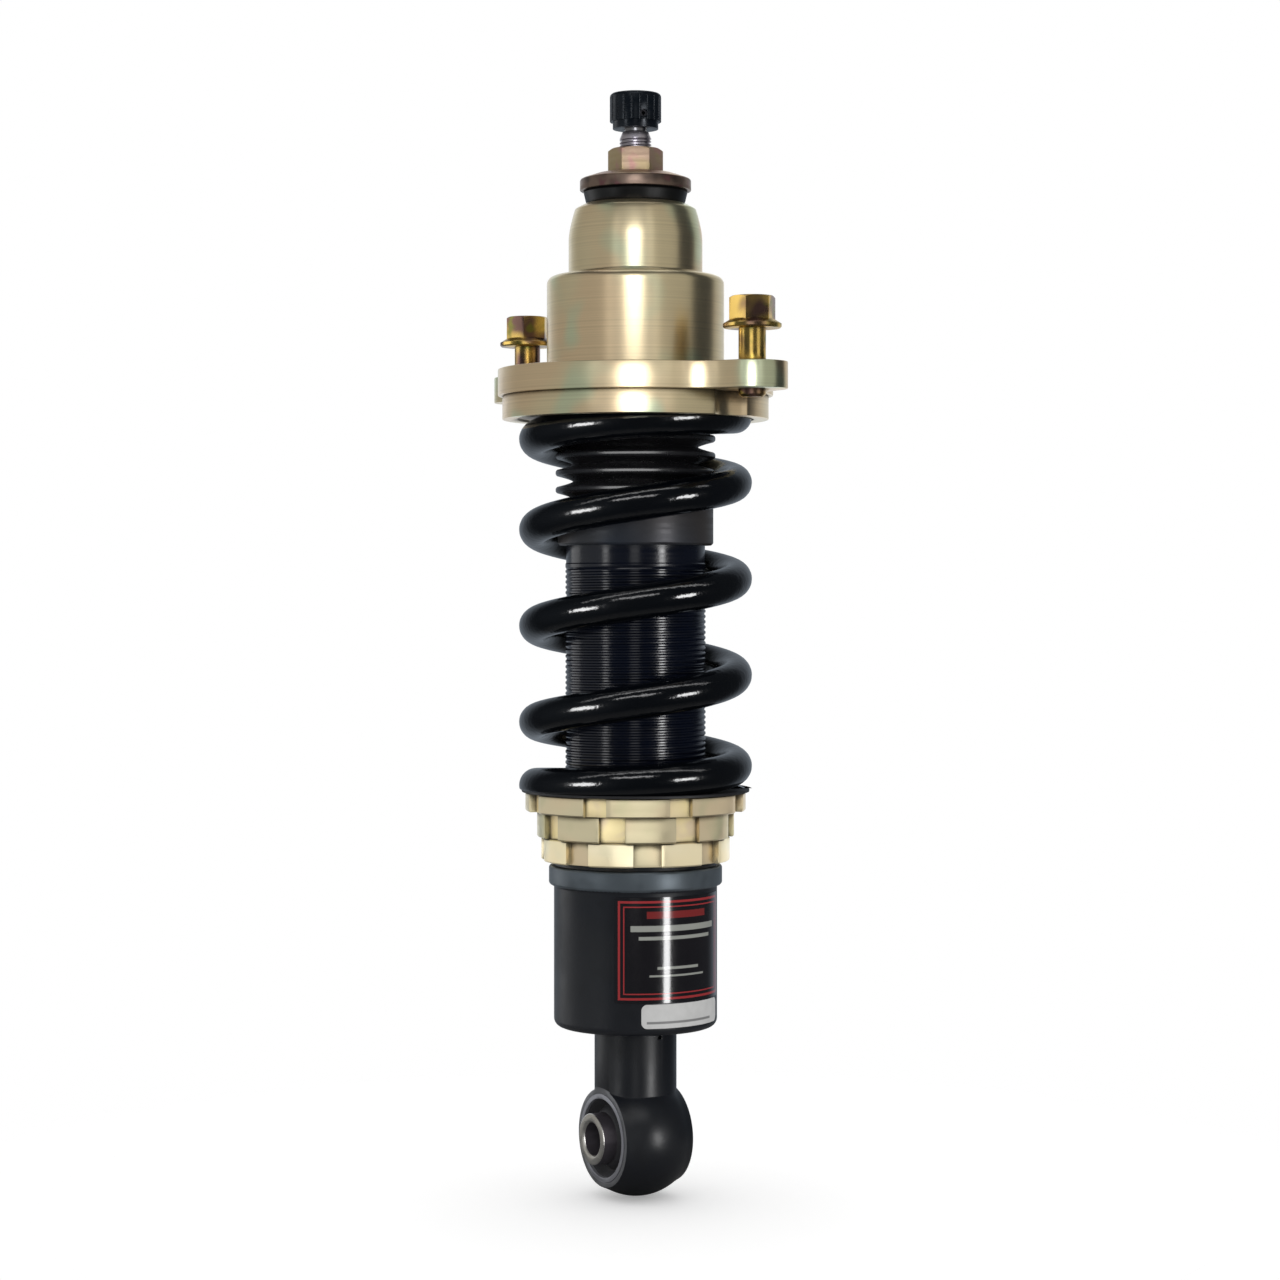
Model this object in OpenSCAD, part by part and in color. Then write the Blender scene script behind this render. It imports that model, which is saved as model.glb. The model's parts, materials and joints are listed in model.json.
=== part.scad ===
// Adjustable coilover suspension unit: a threaded gas damper in a screw-in lower
// bracket, a ground coil spring on a screw perch, and a two-bolt top hat.
// Millimetres, +Z up along the damper, +X along the bore of the lower eye, and the
// origin at the centre of the lower eye.

/* [Lower eye] */
// Radius of the ball-shaped eye
eye_r = 22.7; // [21.5:0.1:26]
// Width of the eye between its machined faces
eye_w = 28.8; // [24:0.2:32]
// Radius of the machined face of the eye
eye_face_r = 18.4; // [17.8:0.1:19.4]
// Outer radius of the bush's steel shell
bush_shell_r = 16.5; // [15.5:0.1:17.2]
// Wall of the bush's steel shell
bush_shell_wall = 1.8; // [1:0.1:2.4]
// How far the shell stands out of each face of the eye
bush_shell_proud = 0.3; // [0:0.1:1]
// Outer radius of the inner sleeve
sleeve_r = 9.6; // [8.5:0.1:11]
// Radius of the hole for the suspension bolt
bolt_bore_r = 6.1; // [5:0.05:7]
// Length of the inner sleeve, with its bolt hole
sleeve_l = 38.5; // [34:0.5:50]
// How deep the rubber's faces are dished
rubber_dish = 3.5; // [1:0.5:6]

/* [Lower bracket] */
// Radius of the neck between the eye and the cup
neck_r = 15.5; // [13:0.5:18]
// Height of the cup's underside above the eye
cup_z = 41.5; // [36:0.5:60]
// Height of the cup
cup_h = 62.5; // [52:0.5:90]
// Outer radius of the cup
cup_r = 30.8; // [30:0.1:34]
// Corner radius at the foot of the cup
cup_corner = 3; // [1:0.5:5]
// Thickness of the cup's floor
cup_floor = 6; // [4:0.5:9]
// Radius of the rim round the mouth of the cup
rim_r = 32.7; // [32:0.1:36]
// Height of that rim
rim_h = 7.2; // [4:0.2:12]
// Height of the seat that stands above the rim
rim_seat_h = 1.8; // [0.8:0.1:3]
// Radius of the seat that stands above the rim
rim_seat_r = 30.4; // [29.5:0.1:31.5]
// Radius of the spigot that holds the neck in the floor of the cup
stem_spigot_r = 10; // [7:0.5:12]
// Width of the edge left round the machined face of the eye
spot_face_edge = 0.6; // [0.4:0.1:1.5]
// Width of the drain slot at the top of the neck
drain_w = 1.8; // [1.2:0.1:3]
// Height of the drain slot
drain_h = 3.6; // [2:0.2:6]

/* [Threaded rings] */
// Height of the ring that locks the bracket
bracket_ring_h = 8.9; // [6:0.1:14]
// Radius of the ring that locks the bracket
bracket_ring_r = 35.6; // [33:0.1:39]
// Height of the ring that locks the perch
perch_ring_h = 9.8; // [6:0.1:14]
// Radius of the ring that locks the perch
perch_ring_r = 37.2; // [33:0.1:41]
// Height of the spring perch
perch_h = 7.1; // [5:0.1:12]
// Radius of the spring perch
perch_r = 41.6; // [38:0.1:46]
// Height of the collar that centres the spring
pilot_h = 5; // [3:0.5:8]
// Number of spanner notches round each ring
notches = 8; // [4:1:12]
// Width of the notches in the ring that locks the bracket
bracket_notch_w = 10.4; // [5:0.2:12]
// Width of the notches in the ring that locks the perch
perch_ring_notch_w = 10; // [5:0.2:12]
// Width of the notches in the spring perch
perch_notch_w = 9; // [5:0.2:12]
// Depth of a spanner notch
notch_depth = 3; // [1.5:0.1:4]
// Chamfer on the edges of the rings
ring_chamfer = 0.5; // [0.2:0.1:1]

/* [Spring] */
// Wire diameter
wire_d = 13; // [10:0.5:14]
// Inner diameter of the coil
spring_id = 62; // [60:0.5:68]
// Free length between the ground ends
spring_l = 140; // [125:1:180]
// Turns of wire from tip to tip
spring_turns = 5.08; // [4.5:0.01:5.6]
// Pitch of the closed first turn
closed_pitch = 13.5; // [13.5:0.1:16]
// Thickness left at the lower ground tip
tip_low = 1; // [0.6:0.1:4]
// Thickness left at the upper ground tip
tip_high = 4.8; // [1:0.1:6]
// Thickness of the isolator under the spring
isolator_t = 1; // [0.6:0.1:3]

/* [Damper] */
// Outer radius of the threaded tube
tube_r = 26.5; // [25.5:0.1:27.2]
// Bore radius of the tube
tube_bore_r = 23; // [21.5:0.1:23.6]
// Length of the tube
tube_l = 178; // [172:1:200]
// Length of tube inside the bracket
tube_in_cup = 46; // [40:1:50]
// Plain length at the top of the tube
tube_plain_l = 20; // [16:1:30]
// Height of the cap on the tube
cap_h = 17.4; // [14:0.2:22]
// Radius of the cap on the tube
cap_r = 29.4; // [28.2:0.1:30.2]
// Thickness of the top of the cap
cap_top_t = 4; // [3:0.2:6]
// Height of the plug that closes the foot of the tube
plug_h = 12; // [8:0.5:16]
// Radius of the gas filling screw
fill_screw_r = 4; // [3:0.2:6]
// Radius of the piston rod
rod_r = 10; // [8:0.1:11]
// Radius of the threaded ends of the rod
stud_r = 6; // [5.5:0.1:6.4]
// Radius of the bore along the rod
rod_bore_r = 3; // [2.4:0.1:3.4]
// Radius of the metering orifice at the foot of the rod
orifice_r = 1.5; // [1:0.1:1.9]
// Distance of the piston's crown below the top of the tube
piston_drop = 25; // [24:1:50]
// Height of the piston
piston_h = 12; // [10:0.5:16]
// Depth of the groove for the piston's band
band_t = 1.2; // [0.8:0.1:2]
// Height of the piston's band
band_h = 8; // [5:0.5:9]
// Thickness of each stack of valve shims
shims_t = 2.4; // [1.6:0.2:4]
// Height of the piston nut
piston_nut_h = 8; // [6:0.5:11]
// Width across the flats of the piston nut
piston_nut_af = 19; // [17:0.5:22]
// Height of the floating piston
float_h = 14; // [11:0.5:20]
// Gas space below the floating piston
gas_l = 28; // [20:1:32]
// Height of the rod guide
guide_h = 15; // [12:0.5:18]
// Wall of the guide's bush
guide_bush_wall = 1.5; // [1:0.1:2.5]
// Height of the rod seal
seal_h = 5; // [3.5:0.5:7]
// Outer radius of the rod seal
seal_r = 16; // [14:0.5:18]
// Radius of the seal rings' section
o_ring_r = 1.6; // [1.2:0.1:2]

/* [Boot and bump stop] */
// Radius of the boot's ridges
boot_ridge_r = 30.2; // [28:0.1:30.4]
// Radius of the boot's valleys
boot_valley_r = 23.6; // [22:0.1:26]
// Distance between ridges
boot_pitch = 6.4; // [5:0.1:9]
// Wall of the boot
boot_wall = 1.2; // [0.8:0.1:1.8]
// Length of the bump stop
bump_l = 40; // [24:1:42]
// Radius of the bump stop
bump_r = 17; // [14:0.5:19]

/* [Top hat] */
// Thickness of the flange
plate_t = 10; // [7:0.5:14]
// Radius of the flange
plate_r = 52; // [51:0.1:56]
// Radius of the lobe round each bolt
lobe_r = 13; // [11:0.1:15]
// Radius of the hollow between flange and lobe
lobe_fillet_r = 22; // [12:0.5:30]
// Diameter of the circle of the two bolts
bolt_pcd = 120; // [116:0.5:130]
// Turn of the bolts round the damper's axis
bolt_turn = -75; // [-90:0.5:-45]
// Radius of the hat's barrel, which locates in the body panel
barrel_r = 33.5; // [32.8:0.1:36]
// Wall of the hat's barrel
barrel_wall = 2.5; // [1.8:0.1:2.6]
// Height of the barrel above the flange
barrel_h = 35.1; // [32:0.1:45]
// Rounding of the barrel's shoulder
barrel_corner = 3; // [1:0.5:4]
// Thickness of the shoulder
shoulder_t = 4; // [3:0.5:6]
// Height of the hat's crown above the barrel
crown_h = 27.2; // [24:0.2:34]
// Radius of the crown at its foot
crown_r = 25.3; // [24.6:0.1:27]
// Radius of the crown at its top edge
crown_top_r = 22.9; // [22:0.1:24]
// Height of the crown's straight part
crown_straight = 14; // [8:0.5:18]
// Thickness of the crown's top
crown_top_t = 6; // [4:0.5:8]
// Height of the upper spring seat
seat_ring_h = 8.9; // [6:0.1:12]
// Radius of the upper spring seat
seat_ring_r = 50.3; // [48.5:0.1:51]
// Depth of the register that centres the spring
seat_register = 0.8; // [0.5:0.1:2]
// Radius of the clearance round each bolt in the upper spring seat
scallop_r = 13.5; // [11:0.1:14]

/* [Rod mount] */
// Height of the lower rubber bush
lower_bush_h = 16.4; // [12:0.2:18]
// Radius of the rubber bushes
bush_r = 19.4; // [18.6:0.1:19.8]
// Visible height of the upper rubber bush
upper_bush_h = 5.3; // [4:0.1:9]
// Radius of the hole through the crown
crown_hole_r = 12; // [10.5:0.1:14]
// Radius of the spacer tube
spacer_r = 8; // [7.4:0.1:8.6]
// Thickness of the lower washer
lower_washer_t = 3; // [2:0.5:4]
// Radius of the lower washer
lower_washer_r = 18.5; // [17:0.1:19]
// Radius of the cup washer
cup_washer_r = 21; // [20.4:0.1:22]
// Height of the cup washer
cup_washer_h = 6.2; // [5.4:0.1:7]
// Thickness of the cup washer's plate
cup_washer_t = 2; // [1.2:0.1:2.2]
// Width across the flats of the rod nut
rod_nut_af = 18; // [16:0.5:20]
// Height of the rod nut
rod_nut_h = 9.6; // [8:0.1:14]
// Length of rod above the nut
rod_end_l = 6.4; // [5:0.1:10]
// Length of the chamfer at the rod's top
rod_end_chamfer = 3.8; // [2:0.1:4.4]

/* [Adjuster] */
// Radius of the adjuster's stem
stem_r = 4.2; // [3.6:0.1:4.6]
// Bare height of the stem below the knob
stem_h = 1.2; // [0.8:0.1:3]
// Radius of the knob
knob_r = 9.7; // [8:0.1:12]
// Height of the knob's grip
knob_h = 10.7; // [8:0.1:14]
// Radius of the knob's lower collar
knob_collar_r = 8.6; // [7:0.1:9]
// Height of the knob's lower collar
knob_collar_h = 2.7; // [1.5:0.1:4]
// Number of grip grooves round the knob
knob_grooves = 20; // [12:1:28]
// Radius of a grip groove
knob_groove_r = 0.6; // [0.3:0.05:0.8]
// Radius of the knob's set screw
set_screw_r = 1.5; // [1:0.1:2]
// Radius of the shaft that drives the needle
drive_r = 1.8; // [1.2:0.1:2]
// Length of the metering needle's body
needle_l = 24; // [16:1:30]
// Length of the journal that carries the adjuster in the rod
journal_l = 20; // [12:1:40]
// Travel of the metering needle
needle_travel = 2; // [1:0.1:4]

/* [Flange bolts] */
// Radius of the bolts' thread
bolt_r = 5; // [4:0.1:6]
// Length of the bolts under the flange
bolt_l = 25; // [22:0.5:35]
// Height of the flanges above the top hat, as the bolts are backed out
bolt_out = 12.1; // [8:0.1:14]
// Width across the flats of the bolt heads
bolt_af = 15; // [13:0.5:16]
// Height of the bolt heads with their flanges
bolt_head_h = 11.7; // [9:0.1:13]
// Radius of the bolts' flanges
bolt_flange_r = 10.7; // [9.6:0.1:11.5]
// Thickness of the bolts' flanges at the rim
bolt_flange_t = 1.6; // [1:0.1:2.2]

/* [Labels] */
// Thickness of the labels
label_t = 0.15; // [0.1:0.05:0.4]
// Height of the large label
label_h = 39; // [28:0.5:42]
// Arc of the large label
label_arc = 92.5; // [60:0.5:120]
// Height of the small label
sticker_h = 8.9; // [5:0.1:10]
// Arc of the small label
sticker_arc = 71; // [40:1:90]

/* [Fits] */
// Radial clearance of running fits
run_gap = 0.05; // [0.02:0.01:0.09]
// Clearance between parts that pass each other
free_gap = 0.3; // [0.2:0.05:0.4]

/* [Hidden] */
$fn = 96;

film_gap = 0.02;
// How far a hollow corner's arc cuts past the tangent point
fillet_bite = 0.04;
thread_bore_r = tube_r + run_gap;
tube_plain_r = tube_r - 0.25;
// Angles round the damper's axis of the rings' first notches
bracket_ring_turn = 22.2;
perch_ring_turn = 1.5;
perch_turn = 38.9;
spring_turn = -30;
label_turn = 225.5;
sticker_turn = 244;
drain_turn = -84;
knob_turn = 259;
front_hex_turn = 42;
rear_hex_turn = 53;

// Heights of the stack on the damper, from the bracket's mouth upwards
cup_top = cup_z + cup_h;
perch_ring_z = cup_top + bracket_ring_h + run_gap;
perch_z = perch_ring_z + perch_ring_h;
perch_top = perch_z + perch_h;
spring_z = perch_top + isolator_t;
spring_top = spring_z + spring_l;
seat_z = spring_top - seat_register;
plate_z = seat_z + seat_ring_h;
plate_top = plate_z + plate_t;
barrel_top = plate_top + barrel_h;
crown_top = barrel_top + crown_h;
barrel_bore_r = barrel_r - barrel_wall;
barrel_ceiling = barrel_top - shoulder_t;
crown_ceiling = crown_top - crown_top_t;
crown_bore_r = bush_r + free_gap;

// Rod mount, from the rod's shoulder upwards
lower_bush_z = crown_ceiling - lower_bush_h;
lower_washer_z = lower_bush_z - lower_washer_t;
cup_washer_z = crown_top + upper_bush_h;
spacer_top = cup_washer_z + cup_washer_h - cup_washer_t;
rod_nut_z = cup_washer_z + cup_washer_h;
rod_top = rod_nut_z + rod_nut_h + rod_end_l;
knob_z = rod_top + stem_h;
knob_grip_z = knob_z + knob_collar_h;
knob_top = knob_grip_z + knob_h;

// Damper, from its foot upwards
tube_z = cup_top - tube_in_cup;
tube_top = tube_z + tube_l;
plug_top = tube_z + plug_h;
float_z = plug_top + gas_l;
guide_z = tube_top - seal_h - guide_h;
seal_z = guide_z + guide_h;
cap_z = tube_top + cap_top_t - cap_h;
cap_top = tube_top + cap_top_t;
piston_top = tube_top - piston_drop;
piston_z = piston_top - piston_h;
piston_nut_z = piston_z - shims_t - piston_nut_h;
rod_foot = piston_nut_z - 2;
rod_step = piston_top + shims_t;
needle_z = rod_step + 6;
boot_z = cap_top + free_gap;
boot_top = barrel_ceiling - free_gap;
boot_flange_t = 2;
bump_top = lower_washer_z;

// Spring wire
wire_r = wire_d / 2;
coil_r = spring_id / 2 + wire_r;
wire_steps = 24;
wire_sides = 8;
low_ramp_start = 0.75;
low_ramp = 0.6;
high_ramp = 1;
high_ramp_start = spring_turns - 1.08;

// Integral of a smooth step from 0 to 1 over 0 <= u <= 1
function step_area(u) = u <= 0 ? 0 : u >= 1 ? u - 0.5 : pow(u, 3) - pow(u, 4) / 2;
// Turns of open pitch wound by the time t turns are wound
function open_turns(t) =
    low_ramp * step_area((t - low_ramp_start) / low_ramp)
    - high_ramp * step_area((t - high_ramp_start) / high_ramp);
wire_z0 = tip_low - wire_r;
wire_z1 = spring_l + wire_r - tip_high;
open_extra = (wire_z1 - wire_z0 - closed_pitch * spring_turns) / open_turns(spring_turns);
function wire_z(t) = wire_z0 + closed_pitch * t + open_extra * open_turns(t);
function wire_point(t) = [
    coil_r * cos(360 * t),
    coil_r * sin(360 * t),
    wire_z(t)
];
function wire_slope(t) = let (d = 0.001)
    atan2(wire_z(t + d) - wire_z(t - d), 2 * d * 2 * PI * coil_r);
// One ring of wire_sides points, square to the wire
function wire_ring(t) = let (
        a = 360 * t,
        s = wire_slope(t),
        out = [cos(a), sin(a), 0],
        up = [sin(a) * sin(s), -cos(a) * sin(s), cos(s)]
    )
    [for (k = [0:wire_sides - 1]) let (w = 360 * (k + 0.5) / wire_sides)
        wire_point(t) + wire_r * (cos(w) * out + sin(w) * up)];

wire_rings = ceil(spring_turns * wire_steps);
wire_turns = [for (i = [0:wire_rings]) spring_turns * i / wire_rings];
wire_centres = [for (t = wire_turns) wire_point(t)];
// Least gap of the wire to itself, between points half a turn or more apart
wire_gap = min([for (i = [0:wire_rings], j = [i + wire_steps / 2:1:wire_rings])
    norm(wire_centres[i] - wire_centres[j]) - wire_d]);
echo("least gap of the spring wire to itself, mm", wire_gap);

// Points along an arc of radius r round [x, y], from angle a0 to a1
function arc(x, y, r, a0, a1, n = 6) =
    [for (i = [0:n]) let (a = a0 + (a1 - a0) * i / n) [x + r * cos(a), y + r * sin(a)]];

// A turned piece with its outline in radius and height
module turned(points) {
    rotate_extrude() polygon(points);
}

// A turned piece on the axis of the lower eye
module turned_on_eye(points) {
    rotate([0, 90, 0]) rotate_extrude() polygon(points);
}

module tube_ring(outer, inner, h) {
    difference() {
        cylinder(r = outer, h = h);
        translate([0, 0, -1]) cylinder(r = inner, h = h + 2);
    }
}

// A hexagon bar of the given width across its flats
module hex_bar(af, h) {
    cylinder(r = af / sqrt(3), h = h, $fn = 6);
}

// A hexagon bar with turned chamfers, at the top and, if asked, at the foot
module chamfered_hex(af, h, both = true) {
    corner = af / sqrt(3);
    drop = (corner - af / 2) * 0.6;
    intersection() {
        hex_bar(af, h);
        turned([
            [0, 0],
            [both ? af / 2 : corner + 1, 0],
            [corner + (both ? 0 : 1), both ? drop : 0],
            [corner, h - drop],
            [af / 2, h],
            [0, h]
        ]);
    }
}

// ---- Lower eye and its bush ----

module bush_inner_sleeve() {
    c = 0.8;
    l = sleeve_l / 2;
    color("silver") turned_on_eye([
        [bolt_bore_r, -l + c],
        [bolt_bore_r + c, -l],
        [sleeve_r - c / 2, -l],
        [sleeve_r, -l + c / 2],
        [sleeve_r, l - c / 2],
        [sleeve_r - c / 2, l],
        [bolt_bore_r + c, l],
        [bolt_bore_r, l - c]
    ]);
}

module bush_rubber() {
    inner = sleeve_r + run_gap;
    outer = bush_shell_r - bush_shell_wall;
    mid = (inner + outer) / 2;
    edge = eye_w / 2 - 0.8;
    deep = edge - rubber_dish;
    color("#1b1b1c") turned_on_eye([
        [inner, -edge],
        [mid, -deep],
        [outer, -edge],
        [outer, edge],
        [mid, deep],
        [inner, edge]
    ]);
}

module bush_outer_sleeve() {
    l = eye_w / 2 + bush_shell_proud;
    color("#5a5b5e") turned_on_eye([
        [bush_shell_r - bush_shell_wall, -l],
        [bush_shell_r, -l],
        [bush_shell_r, l],
        [bush_shell_r - bush_shell_wall, l]
    ]);
}

// ---- Lower bracket ----

module eye_ball() {
    w = eye_w / 2;
    shoulder = asin((w - 3.2) / eye_r);
    turned_on_eye(concat(
        [[0, -w], [eye_face_r, -w]],
        arc(0, 0, eye_r, -shoulder, shoulder, 24),
        [[eye_face_r, w], [0, w]]
    ));
}

module bracket_outline() {
    rim_z = cup_top - rim_seat_h - rim_h;
    turned(concat(
        [[0, cup_z]],
        arc(cup_r - cup_corner, cup_z + cup_corner, cup_corner, -90, 0),
        [
            [cup_r, rim_z - 0.6],
            [rim_r - 0.6, rim_z],
            [rim_r, rim_z + 0.6],
            [rim_r, rim_z + rim_h - 0.6],
            [rim_r - 0.6, rim_z + rim_h],
            [rim_seat_r, rim_z + rim_h],
            [rim_seat_r, cup_top],
            [0, cup_top]
        ]
    ));
}

module on_drain() {
    rotate([0, 0, drain_turn]) children();
}

module eye_fitting() {
    spot_r = eye_face_r + spot_face_edge;
    color("#2b2b2e") difference() {
        union() {
            eye_ball();
            cylinder(r = neck_r, h = cup_z);
            cylinder(r = stem_spigot_r, h = cup_z + cup_floor);
        }
        // Bore for the bush, and the faces milled round it
        rotate([0, 90, 0]) translate([0, 0, -eye_w]) cylinder(r = bush_shell_r, h = 2 * eye_w);
        for (side = [0, 180])
            rotate([0, 0, side]) translate([eye_w / 2, 0, 0]) rotate([0, 90, 0])
                cylinder(r = spot_r, h = neck_r);
        on_drain() translate([neck_r - 2, -drain_w / 2, cup_z - drain_h])
            cube([4, drain_w, drain_h + 1]);
    }
}

module bracket_cup() {
    color("#2b2b2e") difference() {
        bracket_outline();
        // Threaded mouth for the tube
        translate([0, 0, cup_z + cup_floor]) cylinder(r = thread_bore_r, h = cup_h);
        translate([0, 0, cup_z - 1]) cylinder(r = stem_spigot_r, h = cup_floor + 2);
        on_drain() translate([neck_r - 1.2, 0, cup_z - 1])
            cylinder(r = drain_w / 2, h = cup_floor + 2);
    }
}

// A label wrapped on the cup, from angle a0 over the given arc
module wrapped_label(a0, a, z, h) {
    rotate([0, 0, a0]) rotate_extrude(angle = a)
        translate([cup_r + film_gap, z]) square([label_t, h]);
}

label_z = cup_top - rim_seat_h - rim_h - 2.2 - label_h;
module data_label() {
    color("#151515") wrapped_label(label_turn, label_arc, label_z, label_h);
}

module small_label() {
    color("#d5d7d6") wrapped_label(sticker_turn, sticker_arc, label_z - sticker_h - 0.4, sticker_h);
}

// ---- Threaded rings ----

// A ring on the tube's thread with spanner notches in its rim
module notched_ring(r, h, turn, notch_w) {
    c = ring_chamfer;
    rotate([0, 0, turn]) difference() {
        turned([
            [thread_bore_r, c],
            [thread_bore_r + c, 0],
            [r - c, 0],
            [r, c],
            [r, h - c],
            [r - c, h],
            [thread_bore_r + c, h],
            [thread_bore_r, h - c]
        ]);
        for (i = [0:notches - 1])
            rotate([0, 0, 360 * i / notches])
                translate([r - notch_depth, -notch_w / 2, -1])
                    cube([notch_depth + 2, notch_w, h + 2]);
    }
}

module bracket_lock_ring() {
    color("#c9b27a") translate([0, 0, cup_top])
        notched_ring(bracket_ring_r, bracket_ring_h, bracket_ring_turn, bracket_notch_w);
}

module perch_lock_ring() {
    color("#c9b27a") translate([0, 0, perch_ring_z])
        notched_ring(perch_ring_r, perch_ring_h, perch_ring_turn, perch_ring_notch_w);
}

pilot_r = spring_id / 2 - free_gap - 0.1;
module spring_perch() {
    color("#c9b27a") {
        translate([0, 0, perch_z]) notched_ring(perch_r, perch_h, perch_turn, perch_notch_w);
        translate([0, 0, perch_top - 1]) tube_ring(pilot_r, thread_bore_r, pilot_h + 1);
    }
}

module spring_isolator() {
    color("#101011") translate([0, 0, perch_top])
        tube_ring(coil_r + wire_r - 1, pilot_r + free_gap, isolator_t);
}

// ---- Spring ----

module wire_tube() {
    n = wire_sides;
    points = [for (t = wire_turns) each wire_ring(t)];
    sides = [for (i = [0:wire_rings - 1], k = [0:n - 1]) let (
            a = i * n + k,
            b = i * n + (k + 1) % n
        )
        each [[a, a + n, b], [b, a + n, b + n]]];
    first = [for (k = [1:n - 2]) [0, k, k + 1]];
    last = [for (k = [1:n - 2]) let (m = wire_rings * n) [m, m + k + 1, m + k]];
    polyhedron(points, concat(sides, first, last));
}

module coil_spring() {
    color("#0c0c0e") translate([0, 0, spring_z]) intersection() {
        rotate([0, 0, spring_turn]) wire_tube();
        translate([-perch_r - wire_d, -perch_r - wire_d, 0])
            cube([2 * (perch_r + wire_d), 2 * (perch_r + wire_d), spring_l]);
    }
}

// ---- Damper tube and what it holds ----

module damper_tube() {
    plain_z = tube_top - tube_plain_l;
    color("#161618") turned([
        [tube_bore_r, tube_z],
        [tube_r - 1, tube_z],
        [tube_r, tube_z + 1],
        [tube_r, plain_z],
        [tube_plain_r, plain_z],
        [tube_plain_r, tube_top],
        [tube_bore_r, tube_top]
    ]);
}

module base_plug() {
    color("#7d7f83") translate([0, 0, tube_z]) difference() {
        cylinder(r = tube_bore_r, h = plug_h);
        translate([0, 0, -1]) cylinder(r = fill_screw_r, h = plug_h + 2);
        // Groove for its seal
        translate([0, 0, plug_h - 4]) tube_ring(tube_bore_r + 1, tube_bore_r - o_ring_r, 2 * o_ring_r);
    }
}

module fill_screw() {
    color("#8a8c90") translate([0, 0, tube_z + 1]) difference() {
        cylinder(r = fill_screw_r, h = plug_h - 3);
        translate([0, 0, -1]) hex_bar(fill_screw_r, 4);
    }
}

module floating_piston() {
    color("#b9bcc0") translate([0, 0, float_z]) difference() {
        cylinder(r = tube_bore_r - run_gap, h = float_h);
        translate([0, 0, -1]) cylinder(r = tube_bore_r - 5, h = float_h - 5);
        translate([0, 0, float_h / 2 - o_ring_r])
            tube_ring(tube_bore_r + 1, tube_bore_r - 2 * o_ring_r, 2 * o_ring_r);
    }
}

module floating_piston_seal() {
    color("#151515") translate([0, 0, float_z + float_h / 2]) rotate_extrude()
        translate([tube_bore_r - run_gap - o_ring_r, 0]) circle(r = o_ring_r - run_gap, $fn = 32);
}

module piston() {
    bore = stud_r;
    color("#9ea1a5") translate([0, 0, piston_z]) difference() {
        cylinder(r = tube_bore_r - free_gap, h = piston_h);
        translate([0, 0, -1]) cylinder(r = bore, h = piston_h + 2);
        // Groove for the band
        translate([0, 0, (piston_h - band_h) / 2]) tube_ring(tube_bore_r + 1, tube_bore_r - run_gap - band_t, band_h);
        // Oil ports, under the shims
        for (i = [0:5])
            rotate([0, 0, 60 * i]) translate([(bore + tube_bore_r) / 2, 0, -1])
                cylinder(r = 1.8, h = piston_h + 2);
    }
}

module piston_band() {
    color("#3a3326") translate([0, 0, piston_z + (piston_h - band_h) / 2])
        tube_ring(tube_bore_r - run_gap, tube_bore_r - run_gap - band_t, band_h);
}

// Shims of falling radius away from the piston
module shim_stack() {
    n = 4;
    t = shims_t / n;
    difference() {
        union()
            for (i = [0:n - 1])
                translate([0, 0, i * t]) cylinder(r = tube_bore_r - 5 - 2 * i, h = t);
        translate([0, 0, -1]) cylinder(r = stud_r, h = shims_t + 2);
    }
}

module piston_shims() {
    color("#c3c6ca") {
        translate([0, 0, piston_top]) shim_stack();
        translate([0, 0, piston_z]) mirror([0, 0, 1]) shim_stack();
    }
}

module piston_nut() {
    color("#84868a") translate([0, 0, piston_nut_z]) difference() {
        chamfered_hex(piston_nut_af, piston_nut_h);
        translate([0, 0, -1]) cylinder(r = stud_r, h = piston_nut_h + 2);
    }
}

module piston_rod() {
    end_r = stud_r - 1.1;
    color("#c4c8cc") difference() {
        turned([
            [0, rod_foot],
            [stud_r - 0.6, rod_foot],
            [stud_r, rod_foot + 0.6],
            [stud_r, rod_step],
            [rod_r - 0.8, rod_step],
            [rod_r, rod_step + 0.8],
            [rod_r, lower_washer_z - 0.5],
            [rod_r - 0.5, lower_washer_z],
            [stud_r, lower_washer_z],
            [stud_r, rod_top - rod_end_chamfer],
            [end_r, rod_top],
            [0, rod_top]
        ]);
        translate([0, 0, needle_z - needle_travel - free_gap]) cylinder(r = rod_bore_r, h = rod_top);
        translate([0, 0, rod_foot - 1]) cylinder(r = orifice_r, h = rod_top - rod_foot - 2);
        // Cross port to the oil above the piston
        translate([0, 0, rod_step + 2]) rotate([0, 90, 0])
            cylinder(r = orifice_r, h = 2 * rod_r + 2, center = true);
    }
}

module metering_needle() {
    body_r = rod_bore_r - run_gap;
    tip_r = orifice_r - free_gap;
    color("#b08d57") difference() {
        turned([
            [0, needle_z - 7],
            [tip_r * 0.4, needle_z - 7],
            [tip_r, needle_z - 3],
            [tip_r, needle_z],
            [body_r, needle_z],
            [body_r, needle_z + needle_l],
            [0, needle_z + needle_l]
        ]);
        translate([0, 0, needle_z + 6]) cylinder(r = drive_r + free_gap, h = needle_l);
    }
}

module rod_guide() {
    color("#8f9296") translate([0, 0, guide_z])
        tube_ring(tube_bore_r, rod_r + run_gap + guide_bush_wall, guide_h);
}

module guide_bush() {
    color("#a58b52") translate([0, 0, guide_z])
        tube_ring(rod_r + run_gap + guide_bush_wall, rod_r + run_gap, guide_h);
}

module rod_seal() {
    color("#141414") translate([0, 0, seal_z]) tube_ring(seal_r, rod_r + run_gap, seal_h);
}

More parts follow.
